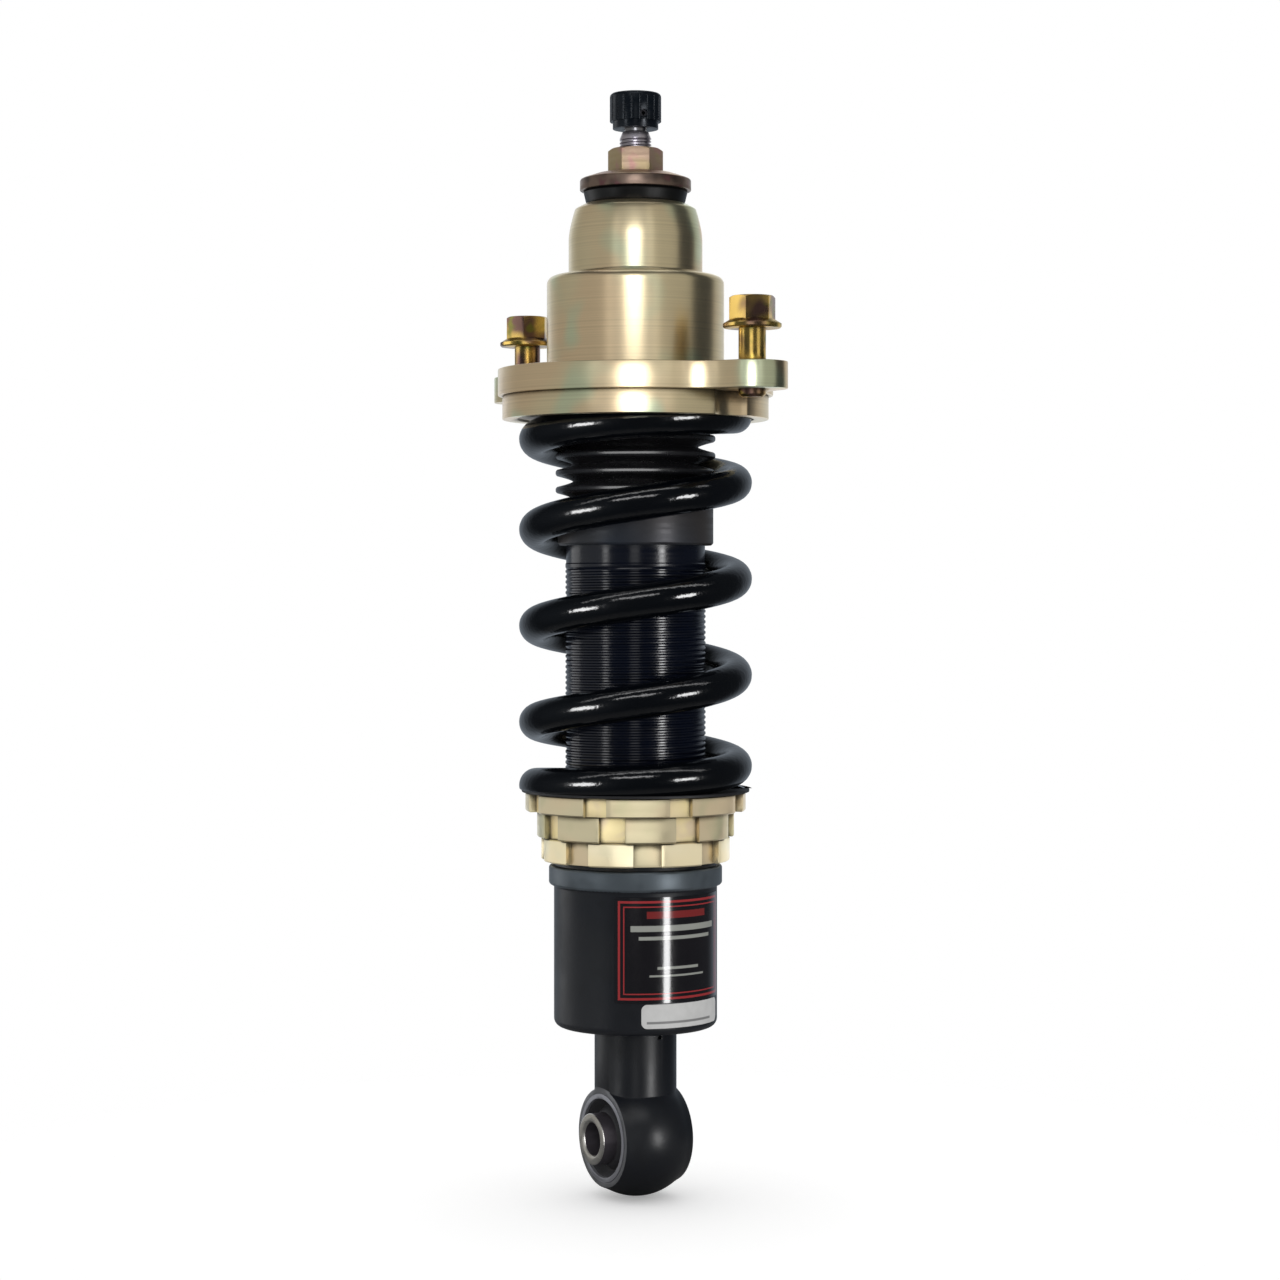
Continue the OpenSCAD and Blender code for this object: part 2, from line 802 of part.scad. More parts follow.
module gland_cap() {
    c = 0.8;
    color("#1a1a1c") difference() {
        turned([
            [0, cap_z],
            [cap_r - c, cap_z],
            [cap_r, cap_z + c],
            [cap_r, cap_top - c],
            [cap_r - c, cap_top],
            [0, cap_top]
        ]);
        translate([0, 0, cap_z - 1]) cylinder(r = tube_plain_r, h = tube_top - cap_z + 1);
        translate([0, 0, cap_z]) cylinder(r = rod_r + free_gap, h = cap_h + 1);
    }
}

// ---- Bump stop and dust boot ----

module bump_stop() {
    z0 = bump_top - bump_l;
    inner = rod_r + free_gap;
    color("#c8a93a") turned([
        [inner, z0],
        [bump_r - 4, z0],
        [bump_r - 2, z0 + bump_l * 0.12],
        [bump_r - 1.5, z0 + bump_l * 0.26],
        [bump_r - 4, z0 + bump_l * 0.34],
        [bump_r - 0.5, z0 + bump_l * 0.44],
        [bump_r - 0.5, z0 + bump_l * 0.58],
        [bump_r - 3.5, z0 + bump_l * 0.66],
        [bump_r, z0 + bump_l * 0.76],
        [bump_r, bump_top],
        [inner, bump_top]
    ]);
}

boot_ribs = floor((boot_top - boot_flange_t - boot_z) / boot_pitch);
boot_rib_pitch = (boot_top - boot_flange_t - boot_z) / boot_ribs;
module dust_boot() {
    // Outline of the outside going up, then of the inside coming down
    outside = [for (i = [0:boot_ribs - 1]) let (z = boot_z + boot_rib_pitch * i)
        each [
            [boot_valley_r, z],
            [boot_ridge_r - 0.6, z + boot_rib_pitch * 0.4],
            [boot_ridge_r, z + boot_rib_pitch * 0.5],
            [boot_ridge_r - 0.6, z + boot_rib_pitch * 0.6]
        ]];
    inside = [for (i = [boot_ribs - 1:-1:0]) let (z = boot_z + boot_rib_pitch * i)
        each [
            [boot_ridge_r - 0.6 - boot_wall, z + boot_rib_pitch * 0.5],
            [boot_valley_r - boot_wall, z + boot_rib_pitch * 0.08]
        ]];
    color("#121214") turned(concat(
        outside,
        [
            [boot_valley_r, boot_top - boot_flange_t],
            [boot_ridge_r - 1, boot_top - boot_flange_t],
            [boot_ridge_r - 1, boot_top],
            [bump_r + free_gap, boot_top],
            [bump_r + free_gap, boot_top - boot_flange_t]
        ],
        inside,
        [[boot_valley_r - boot_wall, boot_z]]
    ));
}

// ---- Top hat ----

// Places its children at each bolt of the top hat
module at_bolt(i) {
    rotate([0, 0, bolt_turn + 180 * i]) translate([bolt_pcd / 2, 0, 0]) children();
}

// The hollow corner between the flange's circle and a lobe
module lobe_web(side) {
    d = bolt_pcd / 2;
    a = plate_r + lobe_fillet_r;
    b = lobe_r + lobe_fillet_r;
    x = (a * a + d * d - b * b) / (2 * d);
    y = side * sqrt(a * a - x * x);
    difference() {
        polygon([[0, 0], [x, y], [d, 0]]);
        translate([x, y]) circle(r = lobe_fillet_r + fillet_bite);
    }
}

module flange_outline() {
    circle(r = plate_r);
    for (i = [0, 1])
        rotate(bolt_turn + 180 * i) {
            translate([bolt_pcd / 2, 0]) circle(r = lobe_r);
            for (side = [-1, 1]) lobe_web(side);
        }
}

module hat_outline() {
    taper_z = barrel_top + crown_straight;
    lip = crown_top - 1.8;
    bow = [for (i = [1:5]) let (u = i / 6)
        [crown_r - (crown_r - crown_top_r) * pow(u, 1.5), taper_z + (lip - taper_z) * u]];
    turned(concat(
        [[0, plate_z + 1], [barrel_r, plate_z + 1]],
        arc(barrel_r - barrel_corner, barrel_top - barrel_corner, barrel_corner, 0, 90),
        [[crown_r + 1.2, barrel_top], [crown_r, barrel_top + 1.2], [crown_r, taper_z]],
        bow,
        [[crown_top_r, lip], [crown_top_r - 3.4, crown_top], [0, crown_top]]
    ));
}

module top_hat() {
    color("#bcae8c") difference() {
        union() {
            translate([0, 0, plate_z]) linear_extrude(height = plate_t) flange_outline();
            hat_outline();
        }
        translate([0, 0, plate_z - 1]) cylinder(r = barrel_bore_r, h = barrel_ceiling - plate_z + 1);
        translate([0, 0, plate_z]) cylinder(r = crown_bore_r, h = crown_ceiling - plate_z);
        translate([0, 0, plate_z]) cylinder(r = crown_hole_r, h = crown_top);
        for (i = [0, 1])
            at_bolt(i) translate([0, 0, plate_z - 1]) cylinder(r = bolt_r + run_gap, h = plate_t + 2);
    }
}

module upper_spring_seat() {
    register_r = coil_r + wire_r + free_gap + 0.3;
    color("#c4b793") difference() {
        translate([0, 0, seat_z]) cylinder(r = seat_ring_r, h = seat_ring_h);
        translate([0, 0, seat_z - 1]) cylinder(r = register_r, h = seat_register + 1);
        translate([0, 0, seat_z - 1]) cylinder(r = barrel_bore_r, h = seat_ring_h + 2);
        for (i = [0, 1])
            at_bolt(i) translate([0, 0, seat_z - 1]) cylinder(r = scallop_r, h = seat_ring_h + 2);
    }
}

// ---- Rod mount ----

module lower_washer() {
    color("#a9abad") translate([0, 0, lower_washer_z])
        tube_ring(lower_washer_r, stud_r + run_gap, lower_washer_t);
}

module lower_mount_bush() {
    z1 = crown_ceiling;
    color("#161617") turned([
        [spacer_r, lower_bush_z],
        [bush_r - 1.5, lower_bush_z],
        [bush_r, lower_bush_z + 1.5],
        [bush_r, z1 - 1.5],
        [bush_r - 1.5, z1],
        [spacer_r, z1]
    ]);
}

module mount_spacer() {
    color("#9a9c9f") translate([0, 0, lower_bush_z])
        tube_ring(spacer_r, stud_r + run_gap, spacer_top - lower_bush_z);
}

cup_wall = 2;
cup_flat_r = 15;
cup_shoulder = 1.9;
module upper_mount_bush() {
    inner = cup_washer_r - cup_wall - 0.1;
    color("#161617") turned([
        [spacer_r, crown_ceiling + 1],
        [crown_hole_r - free_gap, crown_ceiling + 1],
        [crown_hole_r - free_gap, crown_top],
        [bush_r - 1.1, crown_top],
        [bush_r - 0.6, crown_top + 1.2],
        [bush_r + 0.2, cup_washer_z - 0.8],
        [inner, cup_washer_z],
        [inner, spacer_top - 1.2],
        [cup_flat_r - 0.5, spacer_top],
        [spacer_r, spacer_top]
    ]);
}

module cup_washer() {
    top_z = cup_washer_z + cup_washer_h;
    inner = cup_washer_r - cup_wall;
    color("#a8845f") turned([
        [stud_r + run_gap, top_z],
        [stud_r + run_gap, spacer_top],
        [cup_flat_r - 0.5, spacer_top],
        [inner, spacer_top - 1.2],
        [inner, cup_washer_z],
        [cup_washer_r, cup_washer_z],
        [cup_washer_r, top_z - cup_shoulder - 0.5],
        [cup_washer_r - 0.4, top_z - cup_shoulder],
        [cup_flat_r + 0.6, top_z - 0.2],
        [cup_flat_r, top_z]
    ]);
}

module rod_nut() {
    color("#b79d5e") translate([0, 0, rod_nut_z]) rotate([0, 0, 30]) difference() {
        chamfered_hex(rod_nut_af, rod_nut_h);
        translate([0, 0, -1]) cylinder(r = stud_r, h = rod_nut_h + 2);
    }
}

// ---- Adjuster ----

module adjuster_stem() {
    color("#c9ccd0") {
        translate([0, 0, rod_top + run_gap]) cylinder(r = stem_r, h = knob_grip_z + knob_h * 0.6 - rod_top);
        translate([0, 0, needle_z + needle_l - 8]) cylinder(r = drive_r, h = rod_top - needle_z - needle_l + 9);
        translate([0, 0, rod_top - journal_l]) cylinder(r = rod_bore_r - run_gap, h = journal_l + 1);
    }
}

module adjuster_knob() {
    c = 1.4;
    socket_top = run_gap + knob_grip_z + knob_h * 0.6;
    color("#141416") difference() {
        union() {
            translate([0, 0, knob_z]) cylinder(r = knob_collar_r, h = knob_collar_h + 1);
            turned(concat(
                [[0, knob_grip_z], [knob_r, knob_grip_z]],
                arc(knob_r - c, knob_top - c, c, 0, 90, 4),
                [[0, knob_top]]
            ));
        }
        translate([0, 0, knob_z - 1]) cylinder(r = stem_r, h = socket_top - knob_z + 1);
        for (i = [0:knob_grooves - 1])
            rotate([0, 0, 360 * (i + 0.5) / knob_grooves + knob_turn])
                translate([knob_r + knob_groove_r / 2, 0, knob_grip_z - 1])
                    cylinder(r = knob_groove_r, h = knob_h - c + 1, $fn = 24);
        rotate([0, 0, knob_turn]) translate([stem_r, 0, knob_grip_z + set_screw_r + 0.6])
            rotate([0, 90, 0]) cylinder(r = set_screw_r, h = knob_r, $fn = 32);
    }
}

module knob_set_screw() {
    color("#333337") rotate([0, 0, knob_turn])
        translate([stem_r, 0, knob_grip_z + set_screw_r + 0.6]) rotate([0, 90, 0]) difference() {
            cylinder(r = set_screw_r, h = knob_r - stem_r - 0.8, $fn = 32);
            translate([0, 0, knob_r - stem_r - 2.4]) hex_bar(set_screw_r, 3);
        }
}

// ---- Flange bolts ----

// A hexagon flange bolt, its seat at z = 0
module flange_bolt(turn) {
    hex_h = bolt_head_h - bolt_flange_t;
    color("#b7a04f") {
        turned([
            [0, 0],
            [bolt_flange_r - 0.5, 0],
            [bolt_flange_r, 0.5],
            [bolt_flange_r, bolt_flange_t],
            [bolt_af / 2 + 0.6, bolt_flange_t + 1.6],
            [0, bolt_flange_t + 1.6]
        ]);
        translate([0, 0, bolt_flange_t]) rotate([0, 0, turn]) chamfered_hex(bolt_af, hex_h, false);
        translate([0, 0, -bolt_l]) turned([
            [0, 0],
            [bolt_r - 1, 0],
            [bolt_r, 1],
            [bolt_r, bolt_l + 1],
            [0, bolt_l + 1]
        ]);
    }
}

module mount_bolt_front() {
    at_bolt(0) translate([0, 0, plate_top + bolt_out]) flange_bolt(front_hex_turn - bolt_turn);
}

module mount_bolt_rear() {
    at_bolt(1) translate([0, 0, plate_top + bolt_out]) flange_bolt(rear_hex_turn - bolt_turn - 180);
}

bush_inner_sleeve();
bush_rubber();
bush_outer_sleeve();
eye_fitting();
bracket_cup();
bracket_lock_ring();
perch_lock_ring();
spring_perch();
spring_isolator();
coil_spring();
damper_tube();
base_plug();
fill_screw();
floating_piston();
floating_piston_seal();
piston();
piston_band();
piston_shims();
piston_nut();
piston_rod();
metering_needle();
rod_guide();
guide_bush();
rod_seal();
gland_cap();
bump_stop();
dust_boot();
lower_washer();
lower_mount_bush();
mount_spacer();
top_hat();
upper_spring_seat();
upper_mount_bush();
cup_washer();
rod_nut();
adjuster_stem();
adjuster_knob();
knob_set_screw();
mount_bolt_front();
mount_bolt_rear();
data_label();
small_label();
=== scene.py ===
"""Visual model of an adjustable coilover suspension unit.

Every piece is built in metres in the shared frame: +Z up along the damper, +X along
the bore of the lower eye, and the origin at the centre of that eye. The sizes in the
classes below are in millimetres and degrees.
"""
import json
import logging
import math
from dataclasses import dataclass, replace
from enum import Enum
from typing import Callable, Iterable, Sequence

import bmesh
import bpy
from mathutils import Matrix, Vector

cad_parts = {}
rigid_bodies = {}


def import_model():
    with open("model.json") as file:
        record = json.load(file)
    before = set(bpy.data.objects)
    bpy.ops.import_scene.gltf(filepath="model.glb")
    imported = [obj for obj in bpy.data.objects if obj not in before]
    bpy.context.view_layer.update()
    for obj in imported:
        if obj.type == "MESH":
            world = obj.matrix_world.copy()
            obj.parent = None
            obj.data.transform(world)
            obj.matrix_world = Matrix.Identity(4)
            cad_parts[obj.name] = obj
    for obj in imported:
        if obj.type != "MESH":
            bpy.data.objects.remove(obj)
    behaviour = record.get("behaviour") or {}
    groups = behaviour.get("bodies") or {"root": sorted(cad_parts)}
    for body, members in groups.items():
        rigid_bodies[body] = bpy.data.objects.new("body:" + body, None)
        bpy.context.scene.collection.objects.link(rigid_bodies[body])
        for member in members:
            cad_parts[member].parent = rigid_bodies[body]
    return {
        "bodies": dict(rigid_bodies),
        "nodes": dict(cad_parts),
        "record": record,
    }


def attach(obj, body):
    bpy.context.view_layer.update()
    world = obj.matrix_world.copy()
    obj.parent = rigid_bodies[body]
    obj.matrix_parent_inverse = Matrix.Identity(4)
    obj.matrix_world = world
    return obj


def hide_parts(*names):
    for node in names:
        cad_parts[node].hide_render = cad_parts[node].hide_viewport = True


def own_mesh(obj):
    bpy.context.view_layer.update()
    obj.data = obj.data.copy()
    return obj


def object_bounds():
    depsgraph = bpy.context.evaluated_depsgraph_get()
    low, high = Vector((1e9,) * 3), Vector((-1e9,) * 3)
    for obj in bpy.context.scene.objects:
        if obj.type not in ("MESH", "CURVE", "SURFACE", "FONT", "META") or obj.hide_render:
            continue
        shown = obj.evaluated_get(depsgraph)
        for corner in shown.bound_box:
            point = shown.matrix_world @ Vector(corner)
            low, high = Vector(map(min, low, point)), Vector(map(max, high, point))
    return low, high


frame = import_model()
CAD_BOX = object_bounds()

LOG = logging.getLogger("coilover")
MM = 0.001
FULL_TURN = 2 * math.pi
CRISP_ANGLE = 30.0
Point2 = tuple[float, float]
Colour = tuple[float, float, float]


# ---------------------------------------------------------------- geometry toolkit


def linear_channel(value: float) -> float:
    """Undo the display curve for one channel, with the numbers of its standard.

    Args:
        value: Display value from 0 to 255.

    Returns:
        The linear value from 0 to 1.
    """
    share = value / 255
    if share <= 0.04045:
        return share / 12.92
    return ((share + 0.055) / 1.055) ** 2.4


def srgb(red: float, green: float, blue: float) -> Colour:
    """Turn display colour values from 0 to 255 into linear ones."""
    return linear_channel(red), linear_channel(green), linear_channel(blue)


def new_object(name: str, mesh: bpy.types.Mesh) -> bpy.types.Object:
    """Put a mesh into the scene.

    Args:
        name: Name of the new object.
        mesh: What it shows.

    Returns:
        The new object.
    """
    obj = bpy.data.objects.new(name, mesh)
    bpy.context.scene.collection.objects.link(obj)
    return obj


def finish_mesh(mesh: bpy.types.Mesh, angle: float) -> bpy.types.Mesh:
    """Shade a mesh smooth, with its sharp edges kept crisp.

    Args:
        mesh: The mesh to shade.
        angle: Edges sharper than this, in degrees, stay crisp.

    Returns:
        The same mesh.
    """
    for name in ("custom_normal", "sharp_edge", "sharp_face"):
        attribute = mesh.attributes.get(name)
        if attribute is not None:
            mesh.attributes.remove(attribute)
    mesh.shade_smooth()
    mesh.set_sharp_from_angle(angle=math.radians(angle))
    mesh.update()
    return mesh


def sweep(
    name: str,
    profile_at: Callable[[float], Sequence[Point2]],
    segments: int,
    angle: float = CRISP_ANGLE,
) -> bpy.types.Object:
    """Build a solid whose closed outline changes as it goes once round the z axis.

    Args:
        name: Name of the new object.
        profile_at: Gives the closed outline, as radius and height in millimetres, for
            an angle in radians. Each outline has the same number of points.
        segments: Number of steps round the axis.
        angle: Edges sharper than this, in degrees, stay crisp.

    Returns:
        The new object, welded, with its faces looking outwards.
    """
    build = bmesh.new()
    columns = []
    for step in range(segments + 1):
        turn = FULL_TURN * step / segments
        cos_turn = math.cos(turn)
        sin_turn = math.sin(turn)
        columns.append([
            build.verts.new((radius * cos_turn * MM, radius * sin_turn * MM, height * MM))
            for radius, height in profile_at(turn)
        ])
    count = len(columns[0])
    for left, right in zip(columns, columns[1:]):
        for row in range(count):
            other = (row + 1) % count
            build.faces.new((left[row], right[row], right[other], left[other]))
    return welded_object(name, build, angle)


def welded_object(name: str, build: bmesh.types.BMesh, angle: float) -> bpy.types.Object:
    """Weld a working mesh, drop what is left without area, and make it an object.

    Args:
        name: Name of the new object.
        build: The working mesh, which is freed.
        angle: Edges sharper than this, in degrees, stay crisp.

    Returns:
        The new object.
    """
    weld_distance = 1e-6
    least_edge = 1e-7
    bmesh.ops.remove_doubles(build, verts=build.verts, dist=weld_distance)
    bmesh.ops.dissolve_degenerate(build, dist=least_edge, edges=build.edges)
    bmesh.ops.recalc_face_normals(build, faces=build.faces)
    mesh = bpy.data.meshes.new(name)
    build.to_mesh(mesh)
    build.free()
    return new_object(name, finish_mesh(mesh, angle))


@dataclass(frozen=True)
class Thread:
    """A cut screw thread on the outside of a round bar or tube.

    Each turn of the profile has a number of rows. The groove is a V with a flat floor,
    and it fades out over a share of the pitch at both ends.
    """

    radius: float
    pitch: float
    depth: float
    start: float
    end: float
    rows: int = 8
    floor_level: float = 1.6
    flank_slope: float = 5.0
    fade: float = 0.5
    spare_turns: int = 2

    def column(self, turn: float) -> list[Point2]:
        """List the points up the thread at one angle.

        Args:
            turn: The angle round the axis, in radians.

        Returns:
            Radius and height of each point.
        """
        share = turn / FULL_TURN
        turns = int((self.end - self.start) / self.pitch) + 2 * self.spare_turns
        points = []
        for row in range(turns * self.rows):
            height = self.start + self.pitch * (row / self.rows + share - self.spare_turns)
            clamped = min(max(height, self.start), self.end)
            points.append((self.radius - self.cut(row, clamped), clamped))
        return points

    def cut(self, row: int, height: float) -> float:
        """Find the depth of the thread at one of its rows.

        Args:
            row: Number of the row, counted from the foot.
            height: Where the row lies.

        Returns:
            How far it lies under the crest, which is less near both ends.
        """
        phase = (row % self.rows) / self.rows
        groove = min(1.0, max(0.0, self.floor_level - self.flank_slope * abs(phase - 0.5)))
        edge = min(height - self.start, self.end - height)
        return self.depth * groove * min(1.0, max(0.0, edge / (self.fade * self.pitch)))


def threaded(
    name: str,
    before: Sequence[Point2],
    thread: Thread,
    after: Sequence[Point2],
    segments: int,
) -> bpy.types.Object:
    """Turn an outline that runs up a cut thread between two plain parts.

    Args:
        name: Name of the new object.
        before: Points of the outline up to the thread, as radius and height.
        thread: The thread.
        after: Points of the outline from the thread back to the start.
        segments: Number of steps round the axis.

    Returns:
        The new object.
    """
    return sweep(
        name,
        lambda turn: [*before, *thread.column(turn), *after],
        segments,
    )


def refined(name: str, node: str, bevel: float) -> bpy.types.Object:
    """Make a detailed copy of a CAD node, with every sharp edge softly broken.

    Args:
        name: Name of the new object.
        node: CAD node that it stands for.
        bevel: Width of the broken edges, in millimetres.

    Returns:
        The new object, which shares nothing with the CAD node.
    """
    weld_distance = 2e-6
    flat_within = 0.15
    build = bmesh.new()
    build.from_mesh(frame["nodes"][node].data)
    bmesh.ops.remove_doubles(build, verts=build.verts, dist=weld_distance)
    bmesh.ops.dissolve_limit(
        build,
        angle_limit=math.radians(flat_within),
        verts=build.verts,
        edges=build.edges,
        delimit={"NORMAL"},
    )
    obj = welded_object(name, build, CRISP_ANGLE)
    modifier = obj.modifiers.new("broken edges", "BEVEL")
    modifier.width = bevel * MM
    modifier.segments = 2
    modifier.limit_method = "ANGLE"
    modifier.angle_limit = math.radians(CRISP_ANGLE)
    modifier.use_clamp_overlap = True
    modifier.harden_normals = False
    bake_modifiers(obj)
    finish_mesh(obj.data, CRISP_ANGLE)
    return obj


def bake_modifiers(obj: bpy.types.Object) -> None:
    """Give an object the mesh that its modifiers make, and take the modifiers away.

    Args:
        obj: The object.
    """
    bpy.context.view_layer.update()
    graph = bpy.context.evaluated_depsgraph_get()
    mesh = bpy.data.meshes.new_from_object(obj.evaluated_get(graph), depsgraph=graph)
    obj.modifiers.clear()
    obj.data = mesh


# ---------------------------------------------------------------- placing of pieces


class Assembly:
    """Knows the body and the material slot of each CAD node."""

    def __init__(self, record: dict) -> None:
        """Read the bodies and the slots.

        Args:
            record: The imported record.
        """
        self.body_of: dict[str, str] = {}
        for body, nodes in record["behaviour"]["bodies"].items():
            for node in nodes:
                self.body_of[node] = body
        self.slot_of: dict[str, str] = {}
        for part in record["subparts"]:
            if part.get("material_slot"):
                self.slot_of[part["node"]] = part["material_slot"]

    def place(
        self, obj: bpy.types.Object, node: str, material: bpy.types.Material
    ) -> bpy.types.Object:
        """Show a piece in place of a CAD node, riding on the node's body.

        Args:
            obj: The new piece.
            node: CAD node whose body it takes.
            material: Finish of the piece.

        Returns:
            The piece.
        """
        obj.data.materials.clear()
        obj.data.materials.append(material)
        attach(obj, self.body_of[node])
        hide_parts(node)
        LOG.info("%s rides on %s in %s", obj.name, self.body_of[node], material.name)
        return obj

    def dress(self, node: str, material: bpy.types.Material) -> None:
        """Give a CAD node its own procedural material.

        Args:
            node: The node, which stays as it is.
            material: Its finish.
        """
        mesh = frame["nodes"][node].data
        mesh.materials.clear()
        mesh.materials.append(material)
        LOG.info("%s is dressed in %s", node, material.name)


# ---------------------------------------------------------------- shader toolkit


class Graph:
    """Short ways to add and join nodes in one node tree."""

    def __init__(self, tree: bpy.types.NodeTree) -> None:
        """Keep the tree that the nodes go into."""
        self.tree = tree
        self.count = 0

    def add(
        self, kind: str, inputs: dict[object, object] | None = None, **settings: object
    ) -> bpy.types.Node:
        """Add a node.

        Args:
            kind: Type of the node.
            inputs: A socket or a plain value for each input, by its name or number.
            **settings: Properties of the node, by name.

        Returns:
            The new node.
        """
        columns = 8
        wide = 180
        high = 220
        node = self.tree.nodes.new(kind)
        for key, value in settings.items():
            setattr(node, key, value)
        node.location = (wide * (self.count % columns), -high * (self.count // columns))
        self.count += 1
        self.fill(node, inputs or {})
        return node

    def fill(self, node: bpy.types.Node, inputs: dict[object, object]) -> None:
        """Join or set inputs of a node.

        Args:
            node: The node.
            inputs: A socket or a plain value for each input, by its name or number.
        """
        for key, value in inputs.items():
            if isinstance(value, bpy.types.NodeSocket):
                self.join(value, node.inputs[key])
            else:
                node.inputs[key].default_value = value

    def join(self, source: bpy.types.NodeSocket, target: bpy.types.NodeSocket) -> None:
        """Join an output to an input."""
        self.tree.links.new(source, target)

    def math(self, operation: str, *values: object) -> bpy.types.NodeSocket:
        """Add a maths node.

        Args:
            operation: What it works out.
            *values: Sockets or plain values for its inputs.

        Returns:
            Its output.
        """
        node = self.add("ShaderNodeMath", dict(enumerate(values)), operation=operation)
        return node.outputs[0]

    def ramp(self, value: object, low: object, high: object) -> bpy.types.NodeSocket:
        """Map a value smoothly onto the span from 0 to 1.

        Args:
            value: The value.
            low: Where the result is 0.
            high: Where the result is 1.

        Returns:
            The mapped value.
        """
        span = {"Value": value, "From Min": low, "From Max": high}
        node = self.add("ShaderNodeMapRange", span, interpolation_type="SMOOTHSTEP")
        return node.outputs["Result"]

    def remap(self, value: object, low: float, high: float) -> bpy.types.NodeSocket:
        """Map a value from 0 to 1 evenly onto another span.

        Args:
            value: The value.
            low: Result for 0.
            high: Result for 1.

        Returns:
            The mapped value.
        """
        span = {"Value": value, "To Min": low, "To Max": high}
        return self.add("ShaderNodeMapRange", span).outputs["Result"]

    def mix(self, share: object, first: object, second: object) -> bpy.types.NodeSocket:
        """Mix two colours.

        Args:
            share: Share of the second colour.
            first: The first colour.
            second: The second colour.

        Returns:
            The mixed colour.
        """
        colours = {"Factor": share, 6: first, 7: second}
        return self.add("ShaderNodeMix", colours, data_type="RGBA").outputs[2]

    def noise(
        self, vector: bpy.types.NodeSocket, scale: object, detail: float = 2.0
    ) -> bpy.types.NodeSocket:
        """Add a noise texture in space.

        Args:
            vector: Place on the surface.
            scale: Features per metre.
            detail: How much finer noise lies on top.

        Returns:
            Its value.
        """
        inputs = {"Vector": vector, "Scale": scale, "Detail": detail}
        return self.add("ShaderNodeTexNoise", inputs, noise_dimensions="3D").outputs["Fac"]

    def line_noise(
        self, along: bpy.types.NodeSocket, scale: object, detail: float = 1.0
    ) -> bpy.types.NodeSocket:
        """Add a noise texture that changes along one measure only.

        Args:
            along: The measure, in metres.
            scale: Features per metre.
            detail: How much finer noise lies on top.

        Returns:
            Its value.
        """
        inputs = {"W": along, "Scale": scale, "Detail": detail}
        return self.add("ShaderNodeTexNoise", inputs, noise_dimensions="1D").outputs["Fac"]


def rgba(colour: Colour) -> tuple[float, float, float, float]:
    """Add full opacity to a colour."""
    return (*colour, 1.0)


def shaded(colour: Colour, factor: float) -> Colour:
    """Make a colour lighter or darker by a factor."""
    return tuple(value * factor for value in colour)


def new_material(name: str) -> tuple[bpy.types.Material, Graph]:
    """Start a material with an empty node tree.

    Args:
        name: Name of the material.

    Returns:
        The material, and the graph that its nodes go into.
    """
    material = bpy.data.materials.new(name)
    material.use_nodes = True
    material.node_tree.nodes.clear()
    return material, Graph(material.node_tree)


